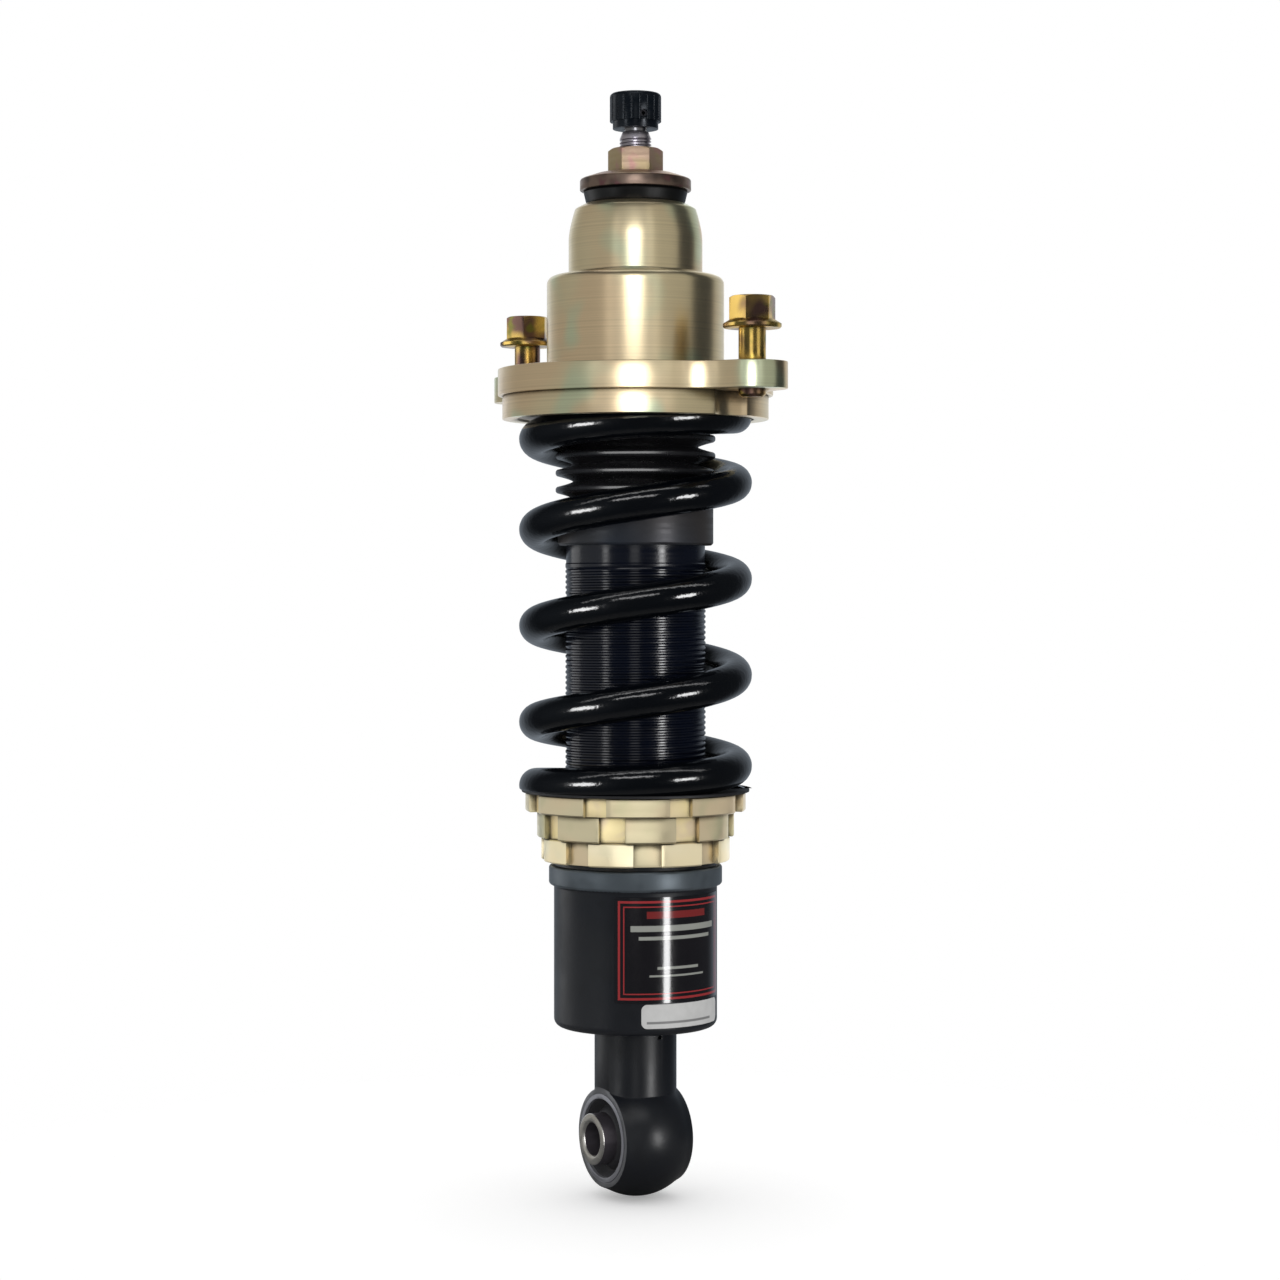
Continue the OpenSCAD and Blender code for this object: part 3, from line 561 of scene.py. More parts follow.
class SharedEffects:
    """Node groups that several finishes share. They put out values and colours only."""

    def __init__(self) -> None:
        """Build every group once."""
        self.turning = self.build_turning_marks()
        self.grain = self.build_grain()
        self.drift = self.build_colour_drift()
        self.crevice = self.build_crevice()

    @staticmethod
    def new_group(
        name: str,
        inputs: Iterable[tuple[str, str, object]],
        outputs: Iterable[tuple[str, str]],
    ) -> tuple[bpy.types.NodeTree, bpy.types.Node, bpy.types.Node]:
        """Make a group with named sockets.

        Args:
            name: Name of the group.
            inputs: Name, socket type and default of each input.
            outputs: Name and socket type of each output.

        Returns:
            The group, its input node and its output node.
        """
        tree = bpy.data.node_groups.new(name, "ShaderNodeTree")
        for label, kind, default in inputs:
            socket = tree.interface.new_socket(label, in_out="INPUT", socket_type=kind)
            if default is not None:
                socket.default_value = default
        for label, kind in outputs:
            tree.interface.new_socket(label, in_out="OUTPUT", socket_type=kind)
        return tree, tree.nodes.new("NodeGroupInput"), tree.nodes.new("NodeGroupOutput")

    def build_turning_marks(self) -> bpy.types.NodeTree:
        """Build fine rings left by a lathe: level lines on walls, and circles on flat faces.

        Returns:
            The group, whose Height has fine and coarse marks and whose Tone is coarse.
        """
        flat_from = 0.8
        coarse_per_fine = 0.17
        fine_share = 0.9
        coarse_share = 0.1
        tone_span = (0.35, 0.65)
        tree, entry, leave = self.new_group(
            "Turning marks",
            [
                ("Position", "NodeSocketVector", None),
                ("Marks per metre", "NodeSocketFloat", 2500.0),
                ("Normal", "NodeSocketVector", None),
            ],
            [("Height", "NodeSocketFloat"), ("Tone", "NodeSocketFloat")],
        )
        graph = Graph(tree)
        parts = graph.add("ShaderNodeSeparateXYZ", {0: entry.outputs["Position"]})
        facing = graph.add("ShaderNodeSeparateXYZ", {0: entry.outputs["Normal"]})
        x_squared = graph.math("MULTIPLY", parts.outputs[0], parts.outputs[0])
        y_squared = graph.math("MULTIPLY", parts.outputs[1], parts.outputs[1])
        radius = graph.math("SQRT", graph.math("ADD", x_squared, y_squared))
        upright = graph.math("ABSOLUTE", facing.outputs[2])
        flat = graph.math("GREATER_THAN", upright, flat_from)
        across = graph.math("MULTIPLY", flat, graph.math("SUBTRACT", radius, parts.outputs[2]))
        along = graph.math("ADD", parts.outputs[2], across)
        fine = graph.line_noise(along, entry.outputs["Marks per metre"])
        coarse_scale = graph.math("MULTIPLY", entry.outputs["Marks per metre"], coarse_per_fine)
        coarse = graph.line_noise(along, coarse_scale)
        height = graph.math(
            "ADD",
            graph.math("MULTIPLY", fine, fine_share),
            graph.math("MULTIPLY", coarse, coarse_share),
        )
        graph.join(height, leave.inputs["Height"])
        graph.join(graph.ramp(coarse, *tone_span), leave.inputs["Tone"])
        return tree

    def build_grain(self) -> bpy.types.NodeTree:
        """Build an even skin of small bumps, as on rubber, powder coat and castings.

        Returns:
            The group, whose Height is fine and whose Tone changes slowly.
        """
        broad_per_fine = 0.06
        detail = 3.0
        tone_span = (0.3, 0.7)
        tree, entry, leave = self.new_group(
            "Fine grain",
            [
                ("Position", "NodeSocketVector", None),
                ("Grains per metre", "NodeSocketFloat", 1500.0),
            ],
            [("Height", "NodeSocketFloat"), ("Tone", "NodeSocketFloat")],
        )
        graph = Graph(tree)
        fine = graph.noise(entry.outputs["Position"], entry.outputs["Grains per metre"], detail)
        broad_scale = graph.math("MULTIPLY", entry.outputs["Grains per metre"], broad_per_fine)
        broad = graph.noise(entry.outputs["Position"], broad_scale, detail)
        graph.join(fine, leave.inputs["Height"])
        graph.join(graph.ramp(broad, *tone_span), leave.inputs["Tone"])
        return tree

    def build_colour_drift(self) -> bpy.types.NodeTree:
        """Build slow changes between three colours, as plating and anodising show.

        Returns:
            The group, with the colour.
        """
        third_per_second = 1.9
        second_span = (0.38, 0.62)
        third_span = (0.52, 0.72)
        tree, entry, leave = self.new_group(
            "Colour drift",
            [
                ("Position", "NodeSocketVector", None),
                ("Patches per metre", "NodeSocketFloat", 60.0),
                ("First", "NodeSocketColor", (0.5, 0.5, 0.5, 1.0)),
                ("Second", "NodeSocketColor", (0.5, 0.5, 0.5, 1.0)),
                ("Third", "NodeSocketColor", (0.5, 0.5, 0.5, 1.0)),
            ],
            [("Color", "NodeSocketColor")],
        )
        graph = Graph(tree)
        broad = graph.noise(entry.outputs["Position"], entry.outputs["Patches per metre"], 1.0)
        finer = graph.math("MULTIPLY", entry.outputs["Patches per metre"], third_per_second)
        other = graph.noise(entry.outputs["Position"], finer, 1.0)
        base = graph.mix(
            graph.ramp(broad, *second_span), entry.outputs["First"], entry.outputs["Second"]
        )
        final = graph.mix(graph.ramp(other, *third_span), base, entry.outputs["Third"])
        graph.join(final, leave.inputs["Color"])
        return tree

    def build_crevice(self) -> bpy.types.NodeTree:
        """Build a mask of painted shade in tight corners and in the joints between pieces.

        Returns:
            The group, with the mask.
        """
        patches_per_metre = 260.0
        least_strength = 0.7
        closed_span = (0.92, 0.4)
        tree, entry, leave = self.new_group(
            "Crevice grime",
            [("Position", "NodeSocketVector", None), ("Reach", "NodeSocketFloat", 0.002)],
            [("Mask", "NodeSocketFloat")],
        )
        graph = Graph(tree)
        reach = {"Distance": entry.outputs["Reach"]}
        hollow = graph.add("ShaderNodeAmbientOcclusion", reach, samples=8)
        closed = graph.ramp(hollow.outputs["AO"], *closed_span)
        uneven = graph.noise(entry.outputs["Position"], patches_per_metre)
        strength = graph.remap(uneven, least_strength, 1.0)
        graph.join(graph.math("MULTIPLY", closed, strength), leave.inputs["Mask"])
        return tree


# Streaks are a darker shade of a finish's first colour. Painted shade darkens corners
# and joints, and makes them rougher. The anisotropic socket counts its rotation in
# turns.
STREAK_SHADE = 0.3
PAINTED_SHADE_COLOUR = (0.012, 0.01, 0.008, 1.0)
PAINTED_SHADE_ROUGHNESS = 0.25
QUARTER_TURN = 0.25


class Pattern(Enum):
    """What the surface of a finish is covered with."""

    TURNED = "turned"
    GRAINED = "grained"


@dataclass(frozen=True)
class Finish:
    """The look of one material, from its colours to the marks on its surface.

    Depth and grime_reach are in millimetres. Streak, grime, and the
    settings that bear the name of a shader input are shares from 0 to 1. Painted shade
    darkens the corners and joints that ambient occlusion finds.
    """

    name: str
    first: Colour
    second: Colour
    third: Colour
    metallic: float = 0.0
    roughness: float = 0.4
    roughness_spread: float = 0.08
    pattern: Pattern = Pattern.TURNED
    per_metre: float = 2500.0
    depth: float = 0.004
    patches: float = 60.0
    anisotropy: float = 0.0
    specular: float = 0.5
    sheen: float = 0.0
    grime: float = 0.0
    grime_reach: float = 2.0
    streak: float = 0.0

    def build(self, effects: SharedEffects) -> bpy.types.Material:
        """Make the material.

        Args:
            effects: The shared node groups.

        Returns:
            The new material.
        """
        material, graph = new_material(self.name)
        position = graph.add("ShaderNodeTexCoord").outputs["Object"]
        shader = graph.add("ShaderNodeBsdfPrincipled")
        graph.add("ShaderNodeOutputMaterial", {"Surface": shader.outputs["BSDF"]})
        colour = self.colour(graph, effects, position)
        marks = self.marks(graph, effects, position)
        rough = graph.remap(
            marks.outputs["Tone"],
            self.roughness - self.roughness_spread / 2,
            self.roughness + self.roughness_spread / 2,
        )
        if self.streak > 0:
            share = graph.math("MULTIPLY", marks.outputs["Height"], self.streak)
            colour = graph.mix(share, colour, rgba(shaded(self.first, STREAK_SHADE)))
        # Painted shade: corners and joints that ambient occlusion finds go darker and rougher.
        if self.grime > 0:
            closed = graph.math(
                "MULTIPLY", self.grime_mask(graph, effects, position), self.grime
            )
            colour = graph.mix(closed, colour, PAINTED_SHADE_COLOUR)
            rough = graph.math("ADD", rough, graph.math("MULTIPLY", closed, PAINTED_SHADE_ROUGHNESS))
        graph.fill(shader, {
            "Base Color": colour,
            "Roughness": rough,
            "Metallic": self.metallic,
            "Specular IOR Level": self.specular,
            "Anisotropic": self.anisotropy,
            "Sheen Weight": self.sheen,
        })
        if self.anisotropy > 0:
            tangent = graph.add("ShaderNodeTangent", direction_type="RADIAL", axis="Z")
            graph.fill(shader, {
                "Tangent": tangent.outputs[0],
                "Anisotropic Rotation": QUARTER_TURN,
            })
        bump = graph.add("ShaderNodeBump", {
            "Strength": 1.0,
            "Distance": self.depth * MM,
            "Height": marks.outputs["Height"],
        })
        graph.join(bump.outputs["Normal"], shader.inputs["Normal"])
        return material

    def colour(
        self, graph: Graph, effects: SharedEffects, position: bpy.types.NodeSocket
    ) -> bpy.types.NodeSocket:
        """Add the slow colour changes.

        Args:
            graph: Where the nodes go.
            effects: The shared node groups.
            position: Place on the surface.

        Returns:
            The colour.
        """
        drift = graph.add("ShaderNodeGroup", {
            "Position": position,
            "Patches per metre": self.patches,
            "First": rgba(self.first),
            "Second": rgba(self.second),
            "Third": rgba(self.third),
        }, node_tree=effects.drift)
        return drift.outputs["Color"]

    def marks(
        self, graph: Graph, effects: SharedEffects, position: bpy.types.NodeSocket
    ) -> bpy.types.Node:
        """Add the group with the surface pattern.

        Args:
            graph: Where the nodes go.
            effects: The shared node groups.
            position: Place on the surface.

        Returns:
            The node, with outputs Height and Tone.
        """
        turned = self.pattern is Pattern.TURNED
        marks = graph.add(
            "ShaderNodeGroup", node_tree=effects.turning if turned else effects.grain
        )
        graph.fill(marks, {"Position": position, 1: self.per_metre})
        if turned:
            facing = graph.add("ShaderNodeTexCoord").outputs["Normal"]
            graph.join(facing, marks.inputs["Normal"])
        return marks

    def grime_mask(
        self, graph: Graph, effects: SharedEffects, position: bpy.types.NodeSocket
    ) -> bpy.types.NodeSocket:
        """Add the mask of painted shade in tight corners.

        Args:
            graph: Where the nodes go.
            effects: The shared node groups.
            position: Place on the surface.

        Returns:
            The mask.
        """
        crevice = graph.add("ShaderNodeGroup", {
            "Position": position,
            "Reach": self.grime_reach * MM,
        }, node_tree=effects.crevice)
        return crevice.outputs["Mask"]


def plain_finish(name: str, colour: Colour, **settings: object) -> Finish:
    """Describe a finish whose three colours are close shades of one colour.

    Args:
        name: Name of the finish.
        colour: Its middle colour.
        **settings: Other fields of the finish.

    Returns:
        The finish.
    """
    change = 0.12
    lighter = tuple(min(1.0, value * (1 + change)) for value in colour)
    return Finish(name, colour, lighter, shaded(colour, 1 - change), **settings)


class Palette:
    """Every material of the model, by the name of its finish."""

    def __init__(self) -> None:
        """Build the shared effects and all the materials."""
        effects = SharedEffects()
        self.made = {finish.name: finish.build(effects) for finish in self.finishes()}

    def __getitem__(self, name: str) -> bpy.types.Material:
        """Give the material of that name."""
        return self.made[name]

    @staticmethod
    def finishes() -> list[Finish]:
        """List the finishes.

        Returns:
            Every finish, from the hat's plating down to the knob.
        """
        grained = Pattern.GRAINED
        champagne = Finish(
            "champagne", srgb(220, 206, 170), srgb(224, 200, 164), srgb(202, 210, 178),
            metallic=1.0, roughness=0.29, roughness_spread=0.02, depth=0.0025,
            anisotropy=0.4, patches=26, per_metre=1300, grime=0.7, grime_reach=2.5,
            streak=0.35,
        )
        ring_gold = Finish(
            "ring gold", srgb(205, 194, 160), srgb(211, 192, 158), srgb(190, 184, 148),
            metallic=0.9, roughness=0.34, roughness_spread=0.1, depth=0.02, anisotropy=0.3,
            patches=40, per_metre=900, grime=1.0, grime_reach=3.5,
        )
        return [
            champagne,
            # The seat's copy paints deeper shade that reaches into the slot round its bolt.
            replace(champagne, name="seat champagne", grime=1.0, grime_reach=9.0),
            ring_gold,
            replace(ring_gold, name="ring pale gold", first=srgb(248, 236, 202),
                    second=srgb(246, 230, 188), third=srgb(236, 226, 190), metallic=0.85),
            Finish("ring notch gold", srgb(240, 220, 176), srgb(244, 226, 172),
                   srgb(226, 206, 172), metallic=0.7, roughness=0.34, roughness_spread=0.05,
                   depth=0.003, patches=60, per_metre=1500, grime=1.0, grime_reach=2.0),
            # Its yellow, purple and olive patches are partly the plating's own tint and partly
            # painted reflection of the surroundings.
            Finish("zinc yellow", srgb(226, 190, 104), srgb(122, 94, 84), srgb(128, 124, 66),
                   metallic=1.0, roughness=0.26, roughness_spread=0.12, depth=0.003,
                   pattern=grained, per_metre=1800, patches=95, grime=0.9),
            Finish("zinc nut", srgb(154, 138, 106), srgb(156, 134, 116), srgb(158, 122, 114),
                   metallic=0.85, roughness=0.5, roughness_spread=0.1, depth=0.002,
                   patches=110, per_metre=2400, grime=0.7),
            # Painted shade: a darker copy of the washer's plating for its walls and underside.
            Finish("washer shaded wall", srgb(110, 94, 84), srgb(58, 50, 48), srgb(98, 68, 70),
                   metallic=0.9, roughness=0.4, roughness_spread=0.08, depth=0.002, grime=0.7,
                   patches=120, per_metre=2400),
            Finish("zinc bronze", srgb(186, 164, 138), srgb(150, 122, 104), srgb(120, 96, 100),
                   metallic=1.0, roughness=0.38, roughness_spread=0.08, depth=0.002, grime=0.7,
                   patches=110, per_metre=2400),
            plain_finish("spring black", srgb(2, 3, 5), roughness=0.14, roughness_spread=0.06,
                         pattern=grained, per_metre=420, depth=0.11, specular=0.6),
            plain_finish("tube black", srgb(5, 9, 22), roughness=0.2, roughness_spread=0.08,
                         depth=0.002, specular=0.6),
            Finish("cap black", srgb(74, 70, 68), srgb(54, 62, 74), srgb(64, 66, 70),
                   metallic=0.6, roughness=0.42, depth=0.003, patches=18),
            plain_finish("bracket black", srgb(16, 19, 25), roughness=0.39,
                         roughness_spread=0.12, pattern=grained, per_metre=900, depth=0.02,
                         specular=0.6),
            plain_finish("bracket lip", srgb(84, 92, 98), roughness=0.4, metallic=0.5,
                         pattern=grained, per_metre=900, depth=0.01),
            plain_finish("bracket face", srgb(104, 105, 108), roughness=0.42,
                         roughness_spread=0.12, pattern=grained, per_metre=900, depth=0.02,
                         metallic=0.4),
            plain_finish("boot rubber", srgb(12, 12, 14), roughness=0.28,
                         roughness_spread=0.08, pattern=grained, per_metre=2600,
                         depth=0.003, specular=0.9),
            plain_finish("bush rubber", srgb(8, 8, 8), roughness=0.42, specular=0.35,
                         roughness_spread=0.12, pattern=grained, per_metre=2200,
                         depth=0.012),
            # Painted light: this rubber is lighter than the other rubber, for light bounced up
            # from below.
            plain_finish("eye rubber lit", srgb(48, 48, 51), roughness=0.5, roughness_spread=0.12,
                         pattern=grained, per_metre=2200, depth=0.012, grime=0.5),
            plain_finish("isolator black", srgb(28, 28, 30), roughness=0.5, pattern=grained,
                         per_metre=2400, depth=0.02),
            plain_finish("foam", srgb(196, 176, 118), roughness=0.85, pattern=grained,
                         per_metre=3500, depth=0.15, sheen=0.2),
            plain_finish("bright steel", srgb(150, 151, 153), metallic=1.0, roughness=0.32,
                         depth=0.002),
            # Painted shade: a darker copy of the sleeve's steel for its bore and walls.
            plain_finish("sleeve shaded bore", srgb(84, 80, 86), metallic=0.85, roughness=0.4,
                         depth=0.003),
            plain_finish("shell face", srgb(136, 137, 143), metallic=0.4, roughness=0.42,
                         depth=0.003, grime=0.6),
            plain_finish("grey steel", srgb(140, 142, 144), metallic=1.0, roughness=0.36,
                         depth=0.002),
            plain_finish("rod chrome", srgb(222, 224, 228), metallic=1.0, roughness=0.09,
                         roughness_spread=0.04, depth=0.001),
            plain_finish("stud steel", srgb(158, 154, 162), metallic=1.0, roughness=0.32,
                         depth=0.003),
            plain_finish("stem steel", srgb(112, 112, 116), metallic=1.0, roughness=0.28,
                         depth=0.003),
            plain_finish("sleeve steel", srgb(188, 186, 182), metallic=1.0, roughness=0.3,
                         depth=0.003, grime=0.8),
            plain_finish("dark screw", srgb(56, 56, 60), metallic=0.9, roughness=0.35,
                         depth=0.004),
            plain_finish("alloy", srgb(190, 192, 194), metallic=1.0, roughness=0.32,
                         depth=0.008),
            plain_finish("sinter", srgb(96, 96, 100), metallic=0.9, roughness=0.5,
                         pattern=grained, per_metre=3000, depth=0.02),
            plain_finish("bronze", srgb(186, 138, 84), metallic=1.0, roughness=0.34,
                         depth=0.005),
            plain_finish("brass", srgb(206, 172, 96), metallic=1.0, roughness=0.24,
                         depth=0.004),
            plain_finish("knob black", srgb(13, 20, 28), roughness=0.27,
                         roughness_spread=0.08, metallic=0.5, depth=0.006),
        ]


# ---------------------------------------------------------------- labels


@dataclass(frozen=True)
class LabelPlace:
    """Where a film label lies on a round wall, with angles in degrees."""

    radius: float
    low: float
    height: float
    start: float
    span: float
    corner: float
    film: float = 0.12

    @property
    def middle(self) -> float:
        """Angle of the middle of the label."""
        return self.start + self.span / 2

    @property
    def width(self) -> float:
        """Width of the label along the wall."""
        return math.radians(self.span) * self.radius


@dataclass(frozen=True)
class Bar:
    """A plain printed bar on a label, from its left and upper edges."""

    left: float
    top: float
    width: float
    height: float
    colour: Colour


def film_label(name: str, place: LabelPlace) -> bpy.types.Object:
    """Build a thin film with rounded corners that lies round a wall.

    Args:
        name: Name of the new object.
        place: Where the film lies.

    Returns:
        The new object.
    """
    columns = 72
    rows = 10
    build = bmesh.new()
    half_width = place.width / 2
    half_height = place.height / 2
    fronts = []
    backs = []
    for column in range(columns + 1):
        along = -half_width * math.cos(math.pi * column / columns)
        into_corner = max(0.0, abs(along) - (half_width - place.corner))
        drop = place.corner - math.sqrt(max(0.0, place.corner ** 2 - into_corner ** 2))
        reach = half_height - drop
        turn = math.radians(place.middle) + along / place.radius
        front = []
        back = []
        for row in range(rows + 1):
            height = (place.low + half_height + reach * (2 * row / rows - 1)) * MM
            for line, radius in ((front, place.radius), (back, place.radius - place.film)):
                x = radius * math.cos(turn) * MM
                y = radius * math.sin(turn) * MM
                line.append(build.verts.new((x, y, height)))
        fronts.append(front)
        backs.append(back)
    for column in range(columns):
        here, there = fronts[column], fronts[column + 1]
        under, beyond = backs[column], backs[column + 1]
        for row in range(rows):
            build.faces.new((here[row], there[row], there[row + 1], here[row + 1]))
            build.faces.new((under[row + 1], beyond[row + 1], beyond[row], under[row]))
        build.faces.new((under[0], beyond[0], there[0], here[0]))
        build.faces.new((here[rows], there[rows], beyond[rows], under[rows]))
    for front, back in ((fronts[0], backs[0]), (fronts[-1], backs[-1])):
        for row in range(rows):
            build.faces.new((front[row], front[row + 1], back[row + 1], back[row]))
    return welded_object(name, build, CRISP_ANGLE)


@dataclass(frozen=True)
class LabelFace:
    """A printed film with border lines and plain bars in place of lettering.

    Each line is its distance in from the edge, and its width. It is solid within the
    first share of its width from its middle, and gone at the second. Gloss is the
    roughness of the film, and film is the strength of the clear coat over the print.
    """

    name: str
    place: LabelPlace
    ground: Colour
    border: Colour
    lines: tuple[Point2, ...]
    bars: tuple[Bar, ...]
    gloss: float
    film: float
    line_solid: float = 0.35
    line_gone: float = 0.5
    bar_softness: float = 0.12
    film_roughness: float = 0.1
    smoothest: float = 0.8
    roughest: float = 1.3
    mottle_shade: float = 1.25
    mottles_per_metre: float = 300.0
    ripples_per_metre: float = 900.0
    ripple_depth: float = 0.01

    def flat_position(
        self, graph: Graph
    ) -> tuple[bpy.types.NodeSocket, bpy.types.NodeSocket]:
        """Find the place on the label.

        Args:
            graph: Where the nodes go.

        Returns:
            Distances from its middle, along and up the wall, in metres.
        """
        position = graph.add("ShaderNodeTexCoord").outputs["Object"]
        parts = graph.add("ShaderNodeSeparateXYZ", {0: position})
        turn = math.radians(self.place.middle)
        forward = graph.math(
            "ADD",
            graph.math("MULTIPLY", parts.outputs[0], math.cos(turn)),
            graph.math("MULTIPLY", parts.outputs[1], math.sin(turn)),
        )
        side = graph.math(
            "SUBTRACT",
            graph.math("MULTIPLY", parts.outputs[1], math.cos(turn)),
            graph.math("MULTIPLY", parts.outputs[0], math.sin(turn)),
        )
        angle = graph.math("ARCTAN2", side, forward)
        along = graph.math("MULTIPLY", angle, self.place.radius * MM)
        centre = (self.place.low + self.place.height / 2) * MM
        up = graph.math("SUBTRACT", parts.outputs[2], centre)
        return along, up

    def edge_distance(
        self, graph: Graph, along: bpy.types.NodeSocket, up: bpy.types.NodeSocket
    ) -> bpy.types.NodeSocket:
        """Find the distance in from the label's edge.

        Args:
            graph: Where the nodes go.
            along: Distance from the middle along the wall.
            up: Distance from the middle up the wall.

        Returns:
            The distance in metres.
        """
        half_width = self.place.width / 2 * MM
        half_height = self.place.height / 2 * MM
        from_side = graph.math("SUBTRACT", half_width, graph.math("ABSOLUTE", along))
        from_end = graph.math("SUBTRACT", half_height, graph.math("ABSOLUTE", up))
        return graph.math("MINIMUM", from_side, from_end)

    def line_mask(
        self, graph: Graph, distance: bpy.types.NodeSocket, at: float, width: float
    ) -> bpy.types.NodeSocket:
        """Make the mask of a thin line along the edge.

        Args:
            graph: Where the nodes go.
            distance: Distance in from the edge, in metres.
            at: Where the line lies, in millimetres from the edge.
            width: Width of the line, in millimetres.

        Returns:
            The mask.
        """
        offset = graph.math("ABSOLUTE", graph.math("SUBTRACT", distance, at * MM))
        return graph.ramp(offset, width * self.line_gone * MM, width * self.line_solid * MM)

    def bar_mask(
        self,
        graph: Graph,
        along: bpy.types.NodeSocket,
        up: bpy.types.NodeSocket,
        bar: Bar,
    ) -> bpy.types.NodeSocket:
        """Make the mask of a plain bar.

        Args:
            graph: Where the nodes go.
            along: Distance from the middle along the wall.
            up: Distance from the middle up the wall.
            bar: The bar.

        Returns:
            The mask.
        """
        soft = self.bar_softness * MM
        masks = []
        middle_x = (bar.left + bar.width / 2 - self.place.width / 2) * MM
        middle_y = (self.place.height / 2 - bar.top - bar.height / 2) * MM
        for value, middle, size in ((along, middle_x, bar.width), (up, middle_y, bar.height)):
            offset = graph.math("ABSOLUTE", graph.math("SUBTRACT", value, middle))
            masks.append(graph.ramp(offset, size / 2 * MM + soft, size / 2 * MM - soft))
        return graph.math("MULTIPLY", masks[0], masks[1])

    def material(self) -> bpy.types.Material:
        """Make the material of the film.

        Returns:
            The new material.
        """
        material, graph = new_material(self.name)
        shader = graph.add("ShaderNodeBsdfPrincipled")
        graph.add("ShaderNodeOutputMaterial", {"Surface": shader.outputs["BSDF"]})
        along, up = self.flat_position(graph)
        distance = self.edge_distance(graph, along, up)
        mask: object = 0.0
        for at, width in self.lines:
            mask = graph.math("MAXIMUM", mask, self.line_mask(graph, distance, at, width))
        position = graph.add("ShaderNodeTexCoord").outputs["Object"]
        mottle = graph.noise(position, self.mottles_per_metre)
        paler = shaded(self.ground, self.mottle_shade)
        shade = graph.mix(mottle, rgba(self.ground), rgba(paler))
        printed = graph.mix(mask, shade, rgba(self.border))
        for bar in self.bars:
            printed = graph.mix(self.bar_mask(graph, along, up, bar), printed, rgba(bar.colour))
        graph.fill(shader, {
            "Base Color": printed,
            "Roughness": graph.remap(
                mottle, self.gloss * self.smoothest, self.gloss * self.roughest
            ),
            "Coat Weight": self.film,
            "Coat Roughness": self.film_roughness,
        })
        bump = graph.add("ShaderNodeBump", {"Distance": self.ripple_depth * MM})
        graph.join(graph.noise(position, self.ripples_per_metre), bump.inputs["Height"])
        graph.join(bump.outputs["Normal"], shader.inputs["Normal"])
        return material


# ---------------------------------------------------------------- sub-assemblies

# A face lies along an axis where its normal has less than ALONG of its length on that
# axis, and it faces along the axis where its normal has more than SQUARE_ON.
ALONG = 0.5
SQUARE_ON = 0.9


@dataclass(frozen=True)
class SubAssembly:
    """A group of pieces that belong together, with its sizes as fields."""

    parts: Assembly
    palette: Palette

    def build(self) -> None:
        """Build and dress every piece of the group."""
        raise NotImplementedError

    def refine(self, node: str, bevel: float, finish: str) -> bpy.types.Object:
        """Show a detailed copy of a CAD node in the node's place.

        Args:
            node: The node.
            bevel: Width of the copy's broken edges.
            finish: Name of its finish.

        Returns:
            The copy.
        """
        piece = refined("look_" + node, node, bevel)
        return self.parts.place(piece, node, self.palette[finish])

    def dress(self, finishes: dict[str, str]) -> None:
        """Paint CAD nodes that are shown as they are.

        Args:
            finishes: Name of the finish for each node.
        """
        for node, finish in finishes.items():
            self.parts.dress(node, self.palette[finish])

    def repaint(
        self,
        piece: bpy.types.Object,
        finish: str,
        chosen: Callable[[bpy.types.MeshPolygon], bool],
    ) -> None:
        """Give some faces of a piece a second finish.

        Args:
            piece: The piece.
            finish: Name of the second finish.
            chosen: Says whether a face has it.
        """
        piece.data.materials.append(self.palette[finish])
        for face in piece.data.polygons:
            if chosen(face):
                face.material_index = 1


@dataclass(frozen=True)
class NotchedRing(SubAssembly):
    """A threaded ring with spanner notches in its rim.

    The notches lie between the bore, which ends at least_radius, and the rim.
    """

    node: str
    radius: float
    rim: str = "ring gold"
    notch: str = "ring notch gold"
    notch_depth: float = 3.0
    floor_margin: float = 0.3
    least_radius: float = 27.0
    edge: float = 0.35

    def build(self) -> None:
        """Build the ring, with one finish on its turned rim and one in its milled notches."""
        ring = self.refine(self.node, self.edge, self.rim)
        self.repaint(ring, self.notch, self.in_notch)

    def in_notch(self, face: bpy.types.MeshPolygon) -> bool:
        """Tell whether a face is part of a notch.

        Args:
            face: A face of the ring.

        Returns:
            Whether it stands upright between the bore and the rim.
        """
        reach = math.hypot(face.center.x, face.center.y)
        floor_radius = (self.radius - self.notch_depth + self.floor_margin) * MM
        return self.least_radius * MM < reach < floor_radius and abs(face.normal.z) < ALONG


